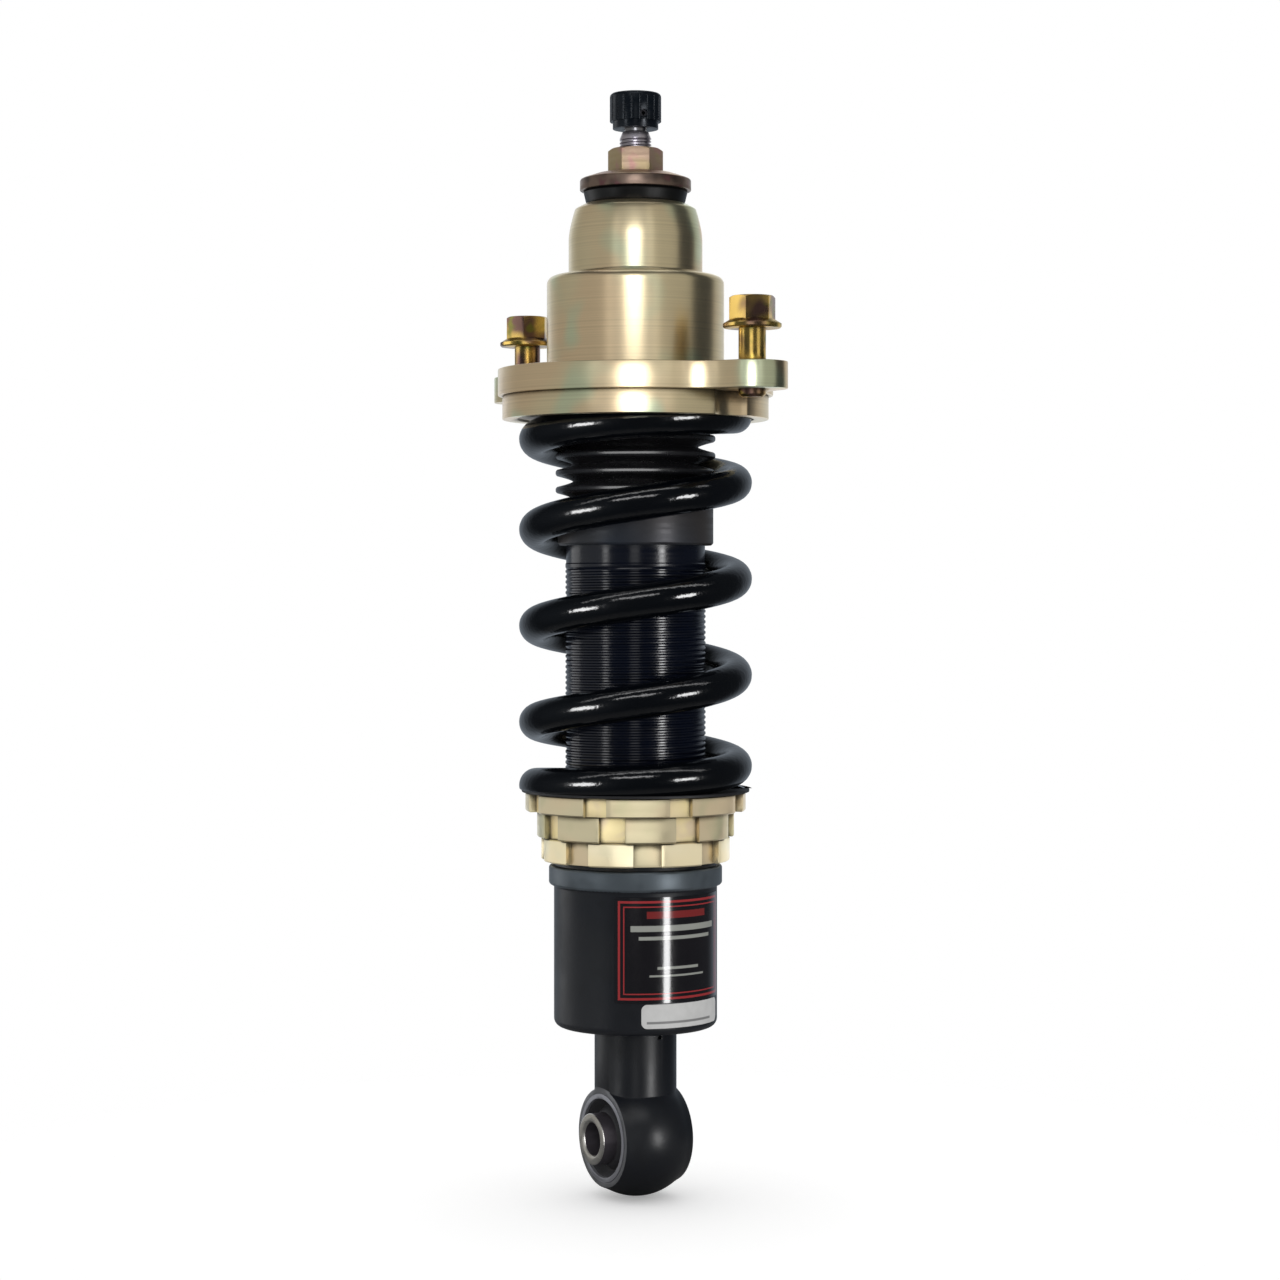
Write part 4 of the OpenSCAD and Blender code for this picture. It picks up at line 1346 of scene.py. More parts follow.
@dataclass(frozen=True)
class LowerBracket(SubAssembly):
    """The eye with its bonded bush, the cup, its lock ring and its labels."""

    edge: float = 0.35
    sleeve_edge: float = 0.25
    shell_edge: float = 0.2
    rubber_edge: float = 0.3
    end_face_from: float = 14.2
    end_face_reach: float = 19.5
    lip_low: float = 93.5
    lip_radius: float = 31.5
    ring_radius: float = 35.6
    data_place: LabelPlace = LabelPlace(
        radius=30.97, low=53.8, height=39.0, start=225.5, span=92.5, corner=0.6
    )
    small_place: LabelPlace = LabelPlace(
        radius=30.97, low=44.5, height=8.9, start=244.0, span=71.0, corner=2.2
    )

    def build(self) -> None:
        """Build every piece of the bracket."""
        eye = self.refine("eye_fitting", self.edge, "bracket black")
        self.repaint(eye, "bracket face", self.on_end_face)
        cup = self.refine("bracket_cup", self.edge, "bracket black")
        self.repaint(cup, "bracket lip", self.on_lip)
        sleeve = self.refine("bush_inner_sleeve", self.sleeve_edge, "sleeve steel")
        # The sleeve's bore and walls take a darker copy of its steel, as painted shade.
        self.repaint(sleeve, "sleeve shaded bore", lambda face: abs(face.normal.x) < ALONG)
        self.refine("bush_outer_sleeve", self.shell_edge, "shell face")
        # The eye's rubber takes a lighter copy of the rubber, as painted light from below.
        self.refine("bush_rubber", self.rubber_edge, "eye rubber lit")
        NotchedRing(
            self.parts,
            self.palette,
            "bracket_lock_ring",
            self.ring_radius,
            rim="ring pale gold",
            notch="ring gold",
        ).build()
        for node, face in (
            ("data_label", self.data_face()),
            ("small_label", self.small_face()),
        ):
            label = film_label("look_" + node, face.place)
            self.parts.place(label, node, face.material())

    def on_end_face(self, face: bpy.types.MeshPolygon) -> bool:
        """Tell whether a face of the eye is part of its machined ends.

        Args:
            face: A face of the eye.

        Returns:
            Whether it is.
        """
        far_enough = abs(face.center.x) > self.end_face_from * MM
        outward = abs(face.normal.x) > SQUARE_ON and far_enough
        return outward and abs(face.center.z) < self.end_face_reach * MM

    def on_lip(self, face: bpy.types.MeshPolygon) -> bool:
        """Tell whether a face of the cup is part of the band round its mouth.

        Args:
            face: A face of the cup.

        Returns:
            Whether it is.
        """
        reach = math.hypot(face.center.x, face.center.y)
        return face.center.z > self.lip_low * MM and reach > self.lip_radius * MM

    def data_face(self) -> LabelFace:
        """Describe the large label.

        Returns:
            Its film, with a double border and bars in place of print.
        """
        beige = srgb(140, 142, 136)
        red = srgb(112, 34, 34)
        return LabelFace(
            name="data label",
            place=self.data_place,
            ground=srgb(17, 15, 18),
            border=srgb(146, 44, 46),
            lines=((1.7, 1.0), (3.5, 0.55)),
            bars=(
                Bar(12.0, 5.2, 26.0, 2.6, red),
                Bar(6.0, 10.4, 38.0, 2.2, beige),
                Bar(9.0, 14.4, 32.0, 1.3, beige),
                Bar(16.0, 25.6, 18.0, 1.0, beige),
                Bar(13.0, 28.6, 24.0, 0.7, beige),
            ),
            gloss=0.14,
            film=1.0,
        )

    def small_face(self) -> LabelFace:
        """Describe the small label.

        Returns:
            Its matt film, with one bar in place of print.
        """
        return LabelFace(
            name="small label",
            place=self.small_place,
            ground=srgb(176, 176, 175),
            border=srgb(170, 170, 168),
            lines=(),
            bars=(Bar(2.0, 6.3, 30.0, 0.9, srgb(118, 118, 118)),),
            gloss=0.5,
            film=0.0,
        )


@dataclass(frozen=True)
class Damper(SubAssembly):
    """The tube with its cut thread, the cap, and everything inside the tube."""

    radius: float = 26.5
    plain_radius: float = 26.25
    bore: float = 23.0
    foot: float = 58.0
    foot_chamfer: float = 0.6
    top: float = 236.0
    top_chamfer: float = 0.4
    plain_from: float = 216.0
    plain_slope: float = 0.4
    pitch: float = 2.0
    thread_depth: float = 0.45
    thread_from: float = 96.0
    thread_to: float = 214.5
    segments: int = 144
    cap_edge: float = 0.25

    def build(self) -> None:
        """Build the tube and cap, and paint the pieces inside."""
        self.build_tube()
        self.refine("gland_cap", self.cap_edge, "cap black")
        self.dress({
            "base_plug": "alloy",
            "fill_screw": "bright steel",
            "floating_piston": "alloy",
            "floating_piston_seal": "bush rubber",
            "rod_guide": "alloy",
            "guide_bush": "bronze",
            "rod_seal": "bush rubber",
        })

    def build_tube(self) -> None:
        """Build the tube with its thread."""
        tube = threaded(
            "look_damper_tube",
            [
                (self.bore, self.foot),
                (self.radius - self.foot_chamfer, self.foot),
                (self.radius, self.foot + self.foot_chamfer),
            ],
            Thread(self.radius, self.pitch, self.thread_depth, self.thread_from, self.thread_to),
            [
                (self.radius, self.plain_from - self.plain_slope),
                (self.plain_radius, self.plain_from),
                (self.plain_radius, self.top - self.top_chamfer),
                (self.plain_radius - self.top_chamfer, self.top),
                (self.bore, self.top),
            ],
            self.segments,
        )
        self.parts.place(tube, "damper_tube", self.palette["tube black"])


@dataclass(frozen=True)
class CoilSpring(SubAssembly):
    """The coil spring, its isolator, and the perch with its lock ring.

    The coils are a centre line that becomes a round wire after the joints have moved.
    Only the open coils close up, and the end coils keep their pitch. Heights of the wire
    are measured from the seat, at the length that the spring is fitted at.
    """

    lock_ring_radius: float = 37.2
    perch_radius: float = 41.6
    isolator_edge: float = 0.2
    seat: float = 130.85
    length: float = 140.0
    wire_radius: float = 6.5
    coil_radius: float = 37.5
    turns: float = 5.08
    closed_pitch: float = 13.5
    tip_low: float = 1.0
    tip_high: float = 4.8
    start_angle: float = -30.0
    opening_from: float = 0.75
    opening_over: float = 0.6
    closing_from: float = 4.0
    travel: float = 45.0
    steps_per_turn: int = 72
    wire_sides: int = 40
    seat_gap: float = 0.02

    @property
    def low(self) -> float:
        """Height of the wire's centre at the lower tip."""
        return self.tip_low - self.wire_radius

    @property
    def high(self) -> float:
        """Height of the wire's centre at the upper tip."""
        return self.length + self.wire_radius - self.tip_high

    @property
    def open_length(self) -> float:
        """Length that the open coils add to the closed ones."""
        return self.high - self.low - self.closed_pitch * self.turns

    @staticmethod
    def eased(share: float) -> float:
        """Find the area under a smooth step from 0 to 1.

        Args:
            share: How far along the step the area reaches.

        Returns:
            The area.
        """
        if share <= 0:
            return 0.0
        if share >= 1:
            return share - 0.5
        return share ** 3 - share ** 4 / 2

    def opening(self, turn: float) -> float:
        """Find how far the coils have opened, before scaling.

        Args:
            turn: Number of turns from the lower tip.

        Returns:
            The opening.
        """
        begun = self.eased((turn - self.opening_from) / self.opening_over)
        return self.opening_over * begun - self.eased(turn - self.closing_from)

    def build(self) -> None:
        """Build the spring and the rings that carry it."""
        NotchedRing(self.parts, self.palette, "perch_lock_ring", self.lock_ring_radius).build()
        NotchedRing(self.parts, self.palette, "spring_perch", self.perch_radius).build()
        self.refine("spring_isolator", self.isolator_edge, "isolator black")
        self.build_coils()

    def centre_line(self) -> bpy.types.Object:
        """Build the centre line of the wire.

        Returns:
            The line, which carries the closed and the opened height of each point.
        """
        scale = self.open_length / self.opening(self.turns)
        count = round(self.turns * self.steps_per_turn)
        points = []
        solid_heights = []
        open_heights = []
        for step in range(count + 1):
            turn = self.turns * step / count
            angle = math.radians(self.start_angle) + FULL_TURN * turn
            solid = self.seat + self.low + self.closed_pitch * turn
            opened = scale * self.opening(turn)
            points.append((
                self.coil_radius * math.cos(angle) * MM,
                self.coil_radius * math.sin(angle) * MM,
                (solid + opened) * MM,
            ))
            solid_heights.append(solid * MM)
            open_heights.append(opened * MM)
        mesh = bpy.data.meshes.new("look_coil_spring")
        edges = [(index, index + 1) for index in range(count)]
        mesh.from_pydata(points, edges, [])
        for name, values in (("solid_height", solid_heights), ("open_height", open_heights)):
            attribute = mesh.attributes.new(name, "FLOAT", "POINT")
            attribute.data.foreach_set("value", values)
        return new_object("look_coil_spring", mesh)

    def build_coils(self) -> None:
        """Build the spring, which shortens with the stroke."""
        coils = self.centre_line()
        self.parts.place(coils, "coil_spring", self.palette["spring black"])
        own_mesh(coils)
        modifier = coils.modifiers.new("round wire", "NODES")
        modifier.node_group = self.wire_nodes()

    def wire_nodes(self) -> bpy.types.NodeTree:
        """Build geometry nodes that turn the centre line into ground round wire.

        Returns:
            The node group.
        """
        tree = bpy.data.node_groups.new("Round wire", "GeometryNodeTree")
        tree.interface.new_socket("Geometry", in_out="INPUT", socket_type="NodeSocketGeometry")
        tree.interface.new_socket("Geometry", in_out="OUTPUT", socket_type="NodeSocketGeometry")
        graph = Graph(tree)
        entry = graph.add("NodeGroupInput")
        leave = graph.add("NodeGroupOutput")
        body = {"Object": frame["bodies"]["top_mount"]}
        top_body = graph.add("GeometryNodeObjectInfo", body, transform_space="RELATIVE")
        shift_parts = graph.add("ShaderNodeSeparateXYZ", {0: top_body.outputs["Location"]})
        shift = shift_parts.outputs[2]
        full = self.open_length * MM
        closing = graph.math("DIVIDE", graph.math("ADD", shift, full), full)
        solid = self.named_value(graph, "solid_height")
        opened = self.named_value(graph, "open_height")
        height = graph.math("ADD", solid, graph.math("MULTIPLY", opened, closing))
        line = self.with_height(graph, entry.outputs[0], height)
        to_curve = graph.add("GeometryNodeMeshToCurve", {"Mesh": line})
        upright = graph.add("GeometryNodeSetCurveNormal", {0: to_curve.outputs[0]}, mode="Z_UP")
        circle = graph.add("GeometryNodeCurvePrimitiveCircle", {
            "Resolution": self.wire_sides,
            "Radius": self.wire_radius * MM,
        })
        wire = graph.add("GeometryNodeCurveToMesh", {
            "Curve": upright.outputs[0],
            "Profile Curve": circle.outputs[0],
            "Fill Caps": True,
        })
        place = graph.add("GeometryNodeInputPosition")
        place_parts = graph.add("ShaderNodeSeparateXYZ", {0: place.outputs[0]})
        top = graph.math("ADD", shift, (self.seat + self.length - self.seat_gap) * MM)
        ground = graph.math(
            "MAXIMUM",
            graph.math("MINIMUM", place_parts.outputs[2], top),
            (self.seat + self.seat_gap) * MM,
        )
        cut = self.with_height(graph, wire.outputs[0], ground)
        smooth = graph.add("GeometryNodeSetShadeSmooth", {"Geometry": cut})
        painted = graph.add("GeometryNodeSetMaterial", {
            "Material": self.palette["spring black"],
            "Geometry": smooth.outputs[0],
        })
        graph.join(painted.outputs[0], leave.inputs[0])
        return tree

    @staticmethod
    def named_value(graph: Graph, name: str) -> bpy.types.NodeSocket:
        """Read a value that the points of the centre line carry.

        Args:
            graph: Where the node goes.
            name: Name of the value.

        Returns:
            The value.
        """
        node = graph.add("GeometryNodeInputNamedAttribute", {"Name": name}, data_type="FLOAT")
        return node.outputs[0]

    @staticmethod
    def with_height(
        graph: Graph, geometry: bpy.types.NodeSocket, height: bpy.types.NodeSocket
    ) -> bpy.types.NodeSocket:
        """Give every point of a geometry a new height.

        Args:
            graph: Where the nodes go.
            geometry: The geometry.
            height: The new height.

        Returns:
            The moved geometry.
        """
        place = graph.add("GeometryNodeInputPosition")
        parts = graph.add("ShaderNodeSeparateXYZ", {0: place.outputs[0]})
        joined = graph.add("ShaderNodeCombineXYZ", {
            0: parts.outputs[0],
            1: parts.outputs[1],
            2: height,
        })
        move = graph.add("GeometryNodeSetPosition", {
            "Geometry": geometry,
            "Position": joined.outputs[0],
        })
        return move.outputs[0]


@dataclass(frozen=True)
class PistonRod(SubAssembly):
    """The piston rod, with the thread that shows above the nut."""

    foot: float = 186.6
    foot_chamfer: float = 0.6
    step: float = 213.4
    step_chamfer: float = 0.8
    radius: float = 10.0
    shoulder: float = 325.85
    shoulder_chamfer: float = 0.5
    stud: float = 6.0
    stud_margin: float = 0.1
    top: float = 378.75
    end_radius: float = 4.9
    end_chamfer: float = 3.8
    bore: float = 3.0
    orifice: float = 1.5
    bore_from: float = 217.1
    thread_from: float = 359.0
    thread_pitch: float = 1.25
    thread_depth: float = 0.72
    thread_run_out: float = 1.2
    segments: int = 96

    def build(self) -> None:
        """Build the rod."""
        thread_to = self.top - self.end_chamfer + self.thread_run_out
        rod = threaded(
            "look_piston_rod",
            [
                (self.orifice, self.foot),
                (self.stud - self.foot_chamfer, self.foot),
                (self.stud, self.foot + self.foot_chamfer),
                (self.stud, self.step),
                (self.radius - self.step_chamfer, self.step),
                (self.radius, self.step + self.step_chamfer),
                (self.radius, self.shoulder - self.shoulder_chamfer),
                (self.radius - self.shoulder_chamfer, self.shoulder),
                (self.stud, self.shoulder),
            ],
            Thread(self.stud, self.thread_pitch, self.thread_depth, self.thread_from, thread_to),
            [
                (self.end_radius, self.top),
                (self.bore, self.top),
                (self.bore, self.bore_from),
                (self.orifice, self.bore_from),
            ],
            self.segments,
        )
        self.parts.place(rod, "piston_rod", self.palette["rod chrome"])
        stud_from = (self.shoulder + self.stud_margin) * MM
        self.repaint(rod, "stud steel", lambda face: face.center.z > stud_from)


@dataclass(frozen=True)
class DustBoot(SubAssembly):
    """The bellows round the rod, with ribs that have straight flanks and blunt ridges.

    Of each rib's height, the flank takes up flank_share and rises to flank_height, and
    the ridge rises by tip_height.
    """

    low: float = 240.3
    top: float = 319.75
    ribs: int = 12
    steps_per_rib: int = 22
    ridge: float = 30.2
    valley: float = 23.6
    wall: float = 1.2
    rib_wall: float = 1.6
    flank_share: float = 0.64
    flank_height: float = 0.92
    flank_curve: float = 1.35
    tip_height: float = 0.08
    tip_curve: float = 1.4
    flange: float = 2.0
    flange_inset: float = 1.0
    collar_inset: float = 0.8
    collar_edge: float = 0.3
    bore: float = 17.3
    segments: int = 128
    crisp_angle: float = 40.0
    travel: float = 45.0

    @property
    def pitch(self) -> float:
        """Height of one rib."""
        return (self.top - self.flange - self.low) / self.ribs

    def rib_share(self, wave: float) -> float:
        """Find the height of a rib's side.

        Args:
            wave: Place up the rib's half, from 0 in the valley to 1 at the ridge.

        Returns:
            The height, from 0 in the valley to 1 along the ridge.
        """
        if wave < self.flank_share:
            return self.flank_height * (wave / self.flank_share) ** self.flank_curve
        tip = (wave - self.flank_share) / (1 - self.flank_share)
        rise = math.sin(min(1.0, tip * self.tip_curve) * math.pi / 2)
        return self.flank_height + self.tip_height * rise

    def outline(self) -> list[Point2]:
        """List the points of the bellows' outline.

        Returns:
            Radius and height of each point.
        """
        outside: list[Point2] = []
        inside: list[Point2] = []
        for step in range(self.ribs * self.steps_per_rib + 1):
            share = step / self.steps_per_rib
            height = self.low + self.pitch * share
            wave = 1 - abs(2 * (share % 1.0) - 1)
            radius = self.valley + (self.ridge - self.valley) * self.rib_share(wave)
            outside.append((radius, height))
            inner = max(self.valley - self.wall, radius - self.wall * self.rib_wall)
            inside.append((inner, height))
        flange_low = self.top - self.flange
        collar = [
            (self.ridge - self.flange_inset, flange_low),
            (self.ridge - self.collar_inset, flange_low + self.collar_edge),
            (self.ridge - self.collar_inset, self.top - self.collar_edge),
            (self.ridge - self.flange_inset, self.top),
            (self.bore, self.top),
            (self.bore, flange_low),
        ]
        return [*outside, *collar, *reversed(inside)]

    def build(self) -> None:
        """Build the bellows."""
        outline = self.outline()
        boot = sweep("look_dust_boot", lambda turn: outline, self.segments, self.crisp_angle)
        self.parts.place(boot, "dust_boot", self.palette["boot rubber"])
        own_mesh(boot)


@dataclass(frozen=True)
class RodGroup(SubAssembly):
    """The rod with its piston, bump stop and boot, and the clamped upper mount."""

    washer_edge: float = 0.3
    nut_edge: float = 0.2
    bush_edge: float = 0.3
    washer_top_from: float = 0.6

    def build(self) -> None:
        """Build the pieces that show, and paint the ones inside."""
        PistonRod(self.parts, self.palette).build()
        DustBoot(self.parts, self.palette).build()
        washer = self.refine("cup_washer", self.washer_edge, "zinc bronze")
        # The washer's walls and underside take a darker copy of its plating, as painted shade.
        self.repaint(
            washer, "washer shaded wall", lambda face: face.normal.z < self.washer_top_from
        )
        self.refine("rod_nut", self.nut_edge, "zinc nut")
        self.refine("upper_mount_bush", self.bush_edge, "bush rubber")
        self.dress({
            "piston": "sinter",
            "piston_band": "bronze",
            "piston_shims": "bright steel",
            "piston_nut": "grey steel",
            "bump_stop": "foam",
            "lower_washer": "bright steel",
            "lower_mount_bush": "bush rubber",
            "mount_spacer": "bright steel",
        })


@dataclass(frozen=True)
class TopMount(SubAssembly):
    """The hat, the spring seat under it, and the two flange bolts."""

    hat_edge: float = 0.4
    seat_edge: float = 0.3
    bolt_edge: float = 0.2

    def build(self) -> None:
        """Build every piece of the mount."""
        self.refine("top_hat", self.hat_edge, "champagne")
        # The seat's finish carries deeper painted shade in the slot round its bolt.
        self.refine("upper_spring_seat", self.seat_edge, "seat champagne")
        for node in ("mount_bolt_front", "mount_bolt_rear"):
            self.refine(node, self.bolt_edge, "zinc yellow")


@dataclass(frozen=True)
class Adjuster(SubAssembly):
    """The damping knob with its stem and screw, and the needle that it moves."""

    knob_edge: float = 0.15
    stem_edge: float = 0.2

    def build(self) -> None:
        """Build the knob and stem, and paint the small pieces."""
        self.refine("adjuster_knob", self.knob_edge, "knob black")
        self.refine("adjuster_stem", self.stem_edge, "stem steel")
        self.dress({"knob_set_screw": "dark screw", "metering_needle": "brass"})


# ---------------------------------------------------------------- studio

WHITE = (1.0, 1.0, 1.0, 1.0)
PLAIN_LIGHT = (1.0, 1.0, 1.0)
WARM_LIGHT = (1.0, 0.96, 0.87)


@dataclass(frozen=True)
class CameraSizes:
    """Where the camera stands, and its lens and shift."""

    azimuth: float = -30.0
    height: float = 208.2
    distance: float = 1100.0
    lens: float = 81.85
    sensor: float = 36.0
    shift_x: float = 0.0035
    shift_y: float = -0.044


@dataclass(frozen=True)
class FloorSizes:
    """Size and fading of the floor, in metres, and its finish."""

    half: float = 6.0
    drop: float = 0.0005
    seen_shade: float = 0.9
    bounced_shade: float = 0.2
    glow: float = 0.3
    roughness: float = 0.9
    specular: float = 0.1
    solid_within: float = 0.08
    gone_beyond: float = 0.3


class Reach(Enum):
    """The pieces that a light falls on."""

    ALL = "all pieces and the floor"
    METAL = "bare and plated metal"
    BOLTS = "the flange bolts"
    RINGS = "the notched rings"
    COILS = "the coil spring"
    BOOT = "the boot"
    DARK = "all other pieces"


@dataclass(frozen=True)
class SoftBox:
    """A soft rectangular light that faces the middle of the object.

    Its place and its spread are angles in degrees as seen from the object, round from
    the camera's side and up from level. Its distance is in metres. It falls only on the
    pieces that its reach names.
    """

    name: str
    around: float
    spread: float
    lowest: float
    highest: float
    brightness: float
    reach: Reach = Reach.ALL
    tint: Colour = PLAIN_LIGHT
    distance: float = 1.5

    @property
    def rise(self) -> float:
        """Angle of its middle above level."""
        return (self.lowest + self.highest) / 2

    @property
    def width(self) -> float:
        """Width of the light in metres."""
        return 2 * self.distance * math.tan(math.radians(self.spread / 2))

    @property
    def height(self) -> float:
        """Height of the light in metres."""
        return 2 * self.distance * math.tan(math.radians((self.highest - self.lowest) / 2))

    @property
    def power(self) -> float:
        """Power that gives the light its brightness."""
        return self.brightness * math.pi * self.width * self.height


@dataclass(frozen=True)
class Glow:
    """A part of the surroundings that mirrors brighter, round from the camera's side.

    It is brightest within the first cosine of the angle from its middle, and fades out
    at the second one.
    """

    around: float
    full_from: float
    fades_at: float
    level: float


FINISHES_LIT = {
    Reach.METAL: (
        "champagne",
        "seat champagne",
        "zinc nut",
        "zinc bronze",
        "bright steel",
        "sleeve shaded bore",
        "sleeve steel",
        "stem steel",
        "rod chrome",
    ),
    Reach.BOLTS: ("zinc yellow",),
    Reach.RINGS: ("ring gold", "ring pale gold"),
    Reach.COILS: ("spring black",),
    Reach.BOOT: ("boot rubber",),
}

# Each has its name, around, spread, lowest, highest and brightness, then its reach, and
# a tint where it has one.
SOFT_BOXES = (
    SoftBox("metal front", -2.0, 20.0, -20.0, 23.0, 5.8, Reach.METAL),
    SoftBox("metal front wide", -4.0, 68.0, -35.0, 45.0, 0.55, Reach.METAL),
    SoftBox("metal left", -88.0, 110.0, -35.0, 50.0, 0.4, Reach.METAL, WARM_LIGHT),
    SoftBox("metal right", 51.0, 54.0, -35.0, 50.0, 0.48, Reach.METAL, WARM_LIGHT),
    SoftBox("metal far right", 147.0, 50.0, -35.0, 50.0, 0.45, Reach.METAL, WARM_LIGHT),
    SoftBox("metal back", -170.0, 50.0, -35.0, 50.0, 0.6, Reach.METAL),
    SoftBox("bolts left", -98.0, 46.0, -25.0, 35.0, 1.35, Reach.BOLTS),
    SoftBox("bolts front", -8.0, 26.0, -20.0, 27.0, 1.3, Reach.BOLTS),
    SoftBox("bolts right", 52.0, 24.0, -20.0, 30.0, 0.9, Reach.BOLTS),
    SoftBox("bolts back", 160.0, 100.0, -25.0, 35.0, 0.45, Reach.BOLTS),
    SoftBox("rings front", 0.0, 60.0, -30.0, 40.0, 1.32, Reach.RINGS),
    SoftBox("rings left", -88.0, 110.0, -35.0, 50.0, 0.68, Reach.RINGS),
    SoftBox("rings right", 75.0, 80.0, -35.0, 50.0, 0.62, Reach.RINGS),
    SoftBox("rings back", 165.0, 90.0, -35.0, 50.0, 0.7, Reach.RINGS),
    SoftBox("coils left", -52.0, 26.0, -5.0, 9.0, 18.0, Reach.COILS),
    SoftBox("coils right", 50.0, 20.0, -5.0, 8.0, 18.0, Reach.COILS),
    SoftBox("coils above", -5.0, 36.0, 34.0, 42.0, 5.5, Reach.COILS),
    SoftBox("coils ridge", 5.0, 100.0, 68.0, 74.0, 3.5, Reach.COILS),
    SoftBox("dark front", -1.0, 14.0, -8.0, 12.0, 0.75, Reach.DARK),
    SoftBox("dark left", -50.0, 9.0, -13.0, 4.0, 3.4, Reach.DARK),
    SoftBox("dark right", 44.0, 9.0, -22.0, 4.0, 12.0, Reach.DARK),
    SoftBox("dark far left", -80.0, 44.0, -20.0, 30.0, 0.25, Reach.DARK),
    SoftBox("dark side", -118.0, 28.0, -20.0, 30.0, 1.0, Reach.DARK),
    SoftBox("dark above", -2.0, 50.0, 34.0, 52.0, 1.4, Reach.DARK),
    SoftBox("boot front", -8.0, 80.0, -12.0, 40.0, 3.4, Reach.BOOT),
    SoftBox("overhead", 180.0, 40.0, 60.0, 100.0, 0.9),
)


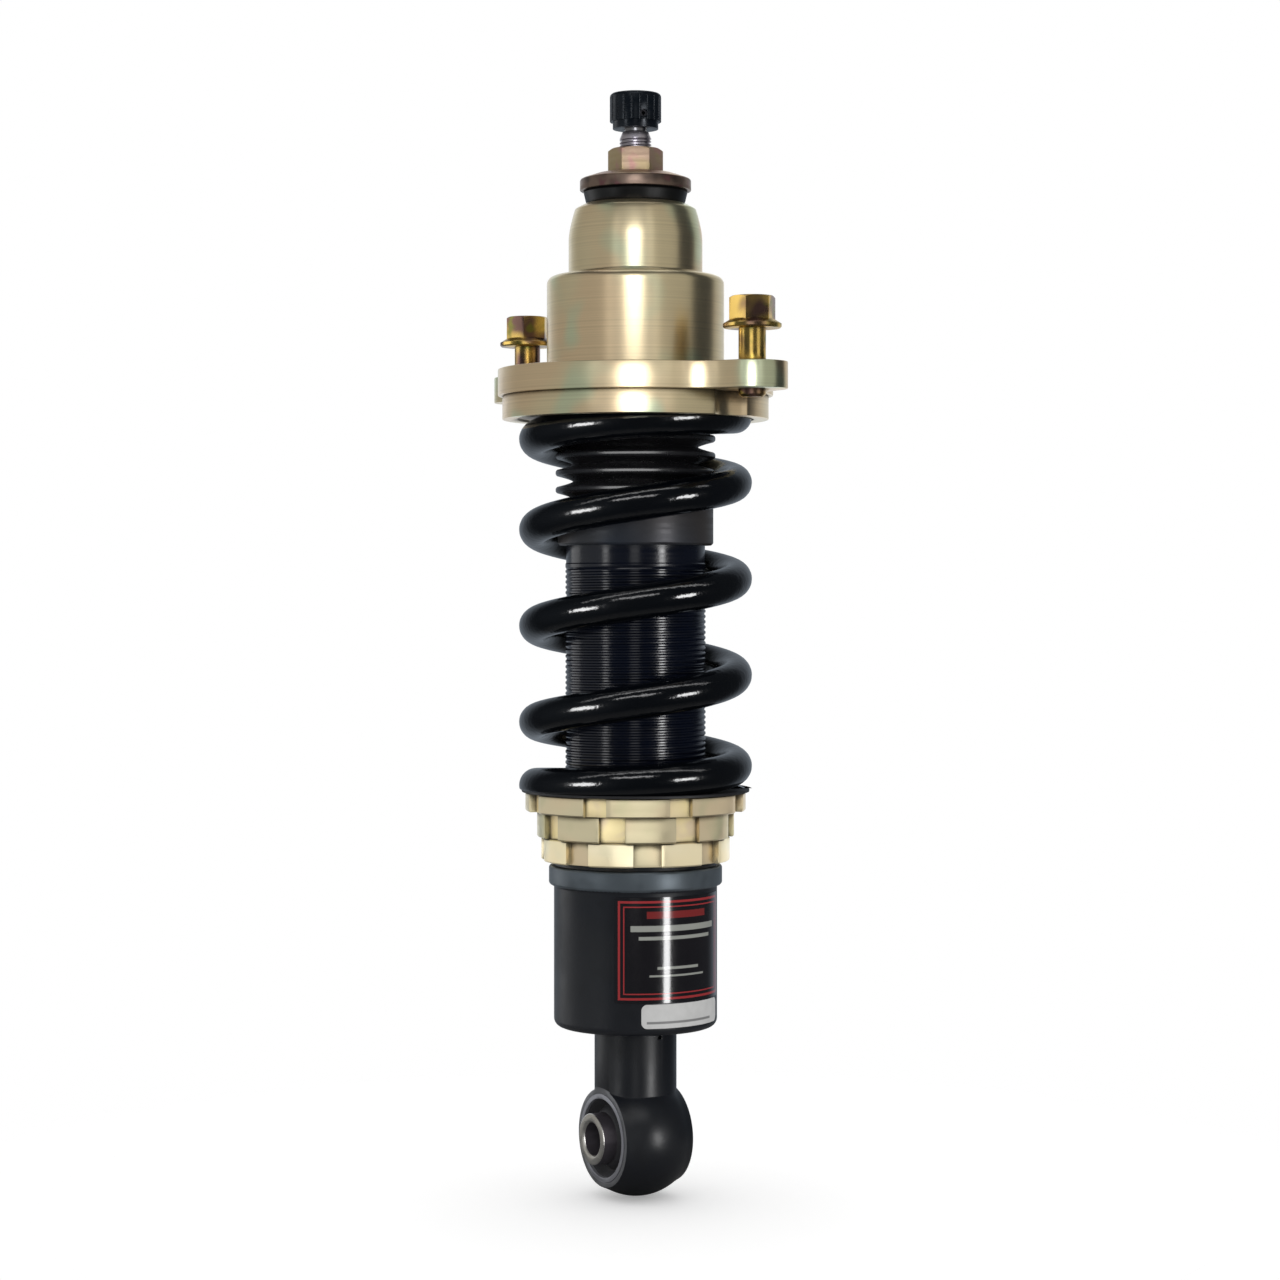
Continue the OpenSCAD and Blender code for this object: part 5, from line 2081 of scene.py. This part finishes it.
class Studio:
    """Floor, lights, white surroundings and camera."""

    centre = Vector((0.0, 0.0, 0.19))
    mirrored_colour = (0.78, 0.88, 1.0, 1.0)
    mirrored_base = 0.05
    diffuse_strength = 0.8
    glows = (
        Glow(around=-62.0, full_from=0.97, fades_at=0.5, level=0.06),
        Glow(around=180.0, full_from=0.9, fades_at=0.5, level=0.3),
    )

    def __init__(self) -> None:
        """Set the sizes of the studio."""
        self.camera = CameraSizes()
        self.floor = FloorSizes()
        self.lit: dict[Reach, bpy.types.Collection] = {}

    def build(self) -> None:
        """Build the whole studio."""
        scene = bpy.context.scene
        scene.view_settings.view_transform = "Standard"
        self.sort_pieces()
        self.build_floor()
        self.build_world()
        for box in SOFT_BOXES:
            self.build_light(box)
        self.build_camera()

    def sort_pieces(self) -> None:
        """Sort the pieces, by their first finish, into the sets that the lights fall on."""
        reach_of = {name: reach for reach, names in FINISHES_LIT.items() for name in names}
        for reach in Reach:
            self.lit[reach] = bpy.data.collections.new("lit: " + reach.value)
        for piece in bpy.context.scene.objects:
            if piece.type != "MESH":
                continue
            finish = piece.data.materials[0].name if piece.data.materials else ""
            self.lit[reach_of.get(finish, Reach.DARK)].objects.link(piece)

    def build_floor(self) -> None:
        """Build the plain pale floor under the object."""
        s = self.floor
        low = CAD_BOX[0].z - s.drop
        mesh = bpy.data.meshes.new("floor")
        corners = [(x * s.half, y * s.half, low) for x, y in ((-1, -1), (1, -1), (1, 1), (-1, 1))]
        mesh.from_pydata(corners, [], [(0, 1, 2, 3)])
        floor = new_object("floor", mesh)
        material = bpy.data.materials.new("floor")
        material.use_nodes = True
        tree = material.node_tree
        shader = tree.nodes["Principled BSDF"]
        graph = Graph(tree)
        graph.fill(shader, {
            "Roughness": s.roughness,
            "Specular IOR Level": s.specular,
            "Emission Color": WHITE,
        })
        seen = graph.add("ShaderNodeLightPath").outputs["Is Camera Ray"]
        shade = graph.mix(seen, rgba((s.bounced_shade,) * 3), rgba((s.seen_shade,) * 3))
        graph.join(shade, shader.inputs["Base Color"])
        graph.join(graph.math("MULTIPLY", seen, s.glow), shader.inputs["Emission Strength"])
        position = graph.add("ShaderNodeTexCoord").outputs["Object"]
        reach = graph.add("ShaderNodeVectorMath", {0: position}, operation="LENGTH")
        faded = graph.ramp(reach.outputs["Value"], s.gone_beyond, s.solid_within)
        graph.join(faded, shader.inputs["Alpha"])
        mesh.materials.append(material)

    def build_world(self) -> None:
        """Build white surroundings that stay dim in reflections."""
        world = bpy.data.worlds.new("surroundings")
        bpy.context.scene.world = world
        world.use_nodes = True
        tree = world.node_tree
        tree.nodes.clear()
        graph = Graph(tree)
        path = graph.add("ShaderNodeLightPath")
        seen = self.background(graph, WHITE, 1.0)
        diffuse = self.background(graph, WHITE, self.diffuse_strength)
        mirrored = self.background(graph, self.mirrored_colour, 1.0)
        graph.join(self.mirrored_level(graph), mirrored.inputs["Strength"])
        glossy = graph.add("ShaderNodeMixShader", {
            0: path.outputs["Is Glossy Ray"],
            1: diffuse.outputs[0],
            2: mirrored.outputs[0],
        })
        final = graph.add("ShaderNodeMixShader")
        leave = graph.add("ShaderNodeOutputWorld")
        shown = graph.math(
            "MAXIMUM", path.outputs["Is Camera Ray"], path.outputs["Is Transmission Ray"]
        )
        graph.fill(final, {0: shown, 1: glossy.outputs[0], 2: seen.outputs[0]})
        graph.join(final.outputs[0], leave.inputs[0])

    @staticmethod
    def background(
        graph: Graph, colour: tuple[float, float, float, float], strength: float
    ) -> bpy.types.Node:
        """Add a background shader.

        Args:
            graph: Where the node goes.
            colour: Its colour.
            strength: Its strength.

        Returns:
            The node.
        """
        return graph.add("ShaderNodeBackground", {"Color": colour, "Strength": strength})

    def mirrored_level(self, graph: Graph) -> bpy.types.NodeSocket:
        """Work out how bright the surroundings are in reflections.

        Args:
            graph: Where the nodes go.

        Returns:
            The brightness, which is low at the sides and higher behind the object.
        """
        ray = graph.add("ShaderNodeTexCoord").outputs["Generated"]
        level: object = self.mirrored_base
        for glow in self.glows:
            dot = graph.add("ShaderNodeVectorMath", {
                0: ray,
                1: self.direction(glow.around, 0.0),
            }, operation="DOT_PRODUCT")
            mask = graph.ramp(dot.outputs["Value"], glow.fades_at, glow.full_from)
            level = graph.math("ADD", level, graph.math("MULTIPLY", mask, glow.level))
        return level

    def direction(self, around: float, rise: float) -> Vector:
        """Find a direction from the object.

        Args:
            around: Angle round from the camera's side, in degrees.
            rise: Angle up from level, in degrees.

        Returns:
            The direction, of length 1.
        """
        azimuth = math.radians(self.camera.azimuth + around)
        lift = math.radians(rise)
        return Vector((
            math.sin(azimuth) * math.cos(lift),
            -math.cos(azimuth) * math.cos(lift),
            math.sin(lift),
        ))

    def build_light(self, box: SoftBox) -> None:
        """Build one soft light.

        Args:
            box: Its place, size and reach.
        """
        data = bpy.data.lights.new(box.name, "AREA")
        data.shape = "RECTANGLE"
        data.size = box.width
        data.size_y = box.height
        data.energy = box.power
        data.color = box.tint
        light = bpy.data.objects.new(box.name, data)
        bpy.context.scene.collection.objects.link(light)
        light.visible_camera = False
        if box.reach is not Reach.ALL:
            light.light_linking.receiver_collection = self.lit[box.reach]
        towards = self.direction(box.around, box.rise)
        light.location = self.centre + towards * box.distance
        light.rotation_euler = towards.to_track_quat("Z", "Y").to_euler()

    def build_camera(self) -> None:
        """Build the camera, level and square to the damper's axis."""
        s = self.camera
        data = bpy.data.cameras.new("camera")
        data.lens = s.lens
        data.sensor_width = s.sensor
        data.shift_x = s.shift_x
        data.shift_y = s.shift_y
        data.dof.use_dof = False
        camera = bpy.data.objects.new("camera", data)
        bpy.context.scene.collection.objects.link(camera)
        back = self.direction(0.0, 0.0)
        camera.location = Vector((0, 0, s.height * MM)) + back * s.distance * MM
        camera.rotation_euler = back.to_track_quat("Z", "Y").to_euler()
        bpy.context.scene.camera = camera


# ---------------------------------------------------------------- whole model


def main() -> None:
    """Build the model and its studio, and report each piece."""
    logging.basicConfig(level=logging.INFO)
    parts = Assembly(frame["record"])
    palette = Palette()
    for group in (LowerBracket, Damper, CoilSpring, RodGroup, TopMount, Adjuster):
        LOG.info("building %s", group.__name__)
        group(parts, palette).build()
    Studio().build()


if __name__ == "__main__":
    main()
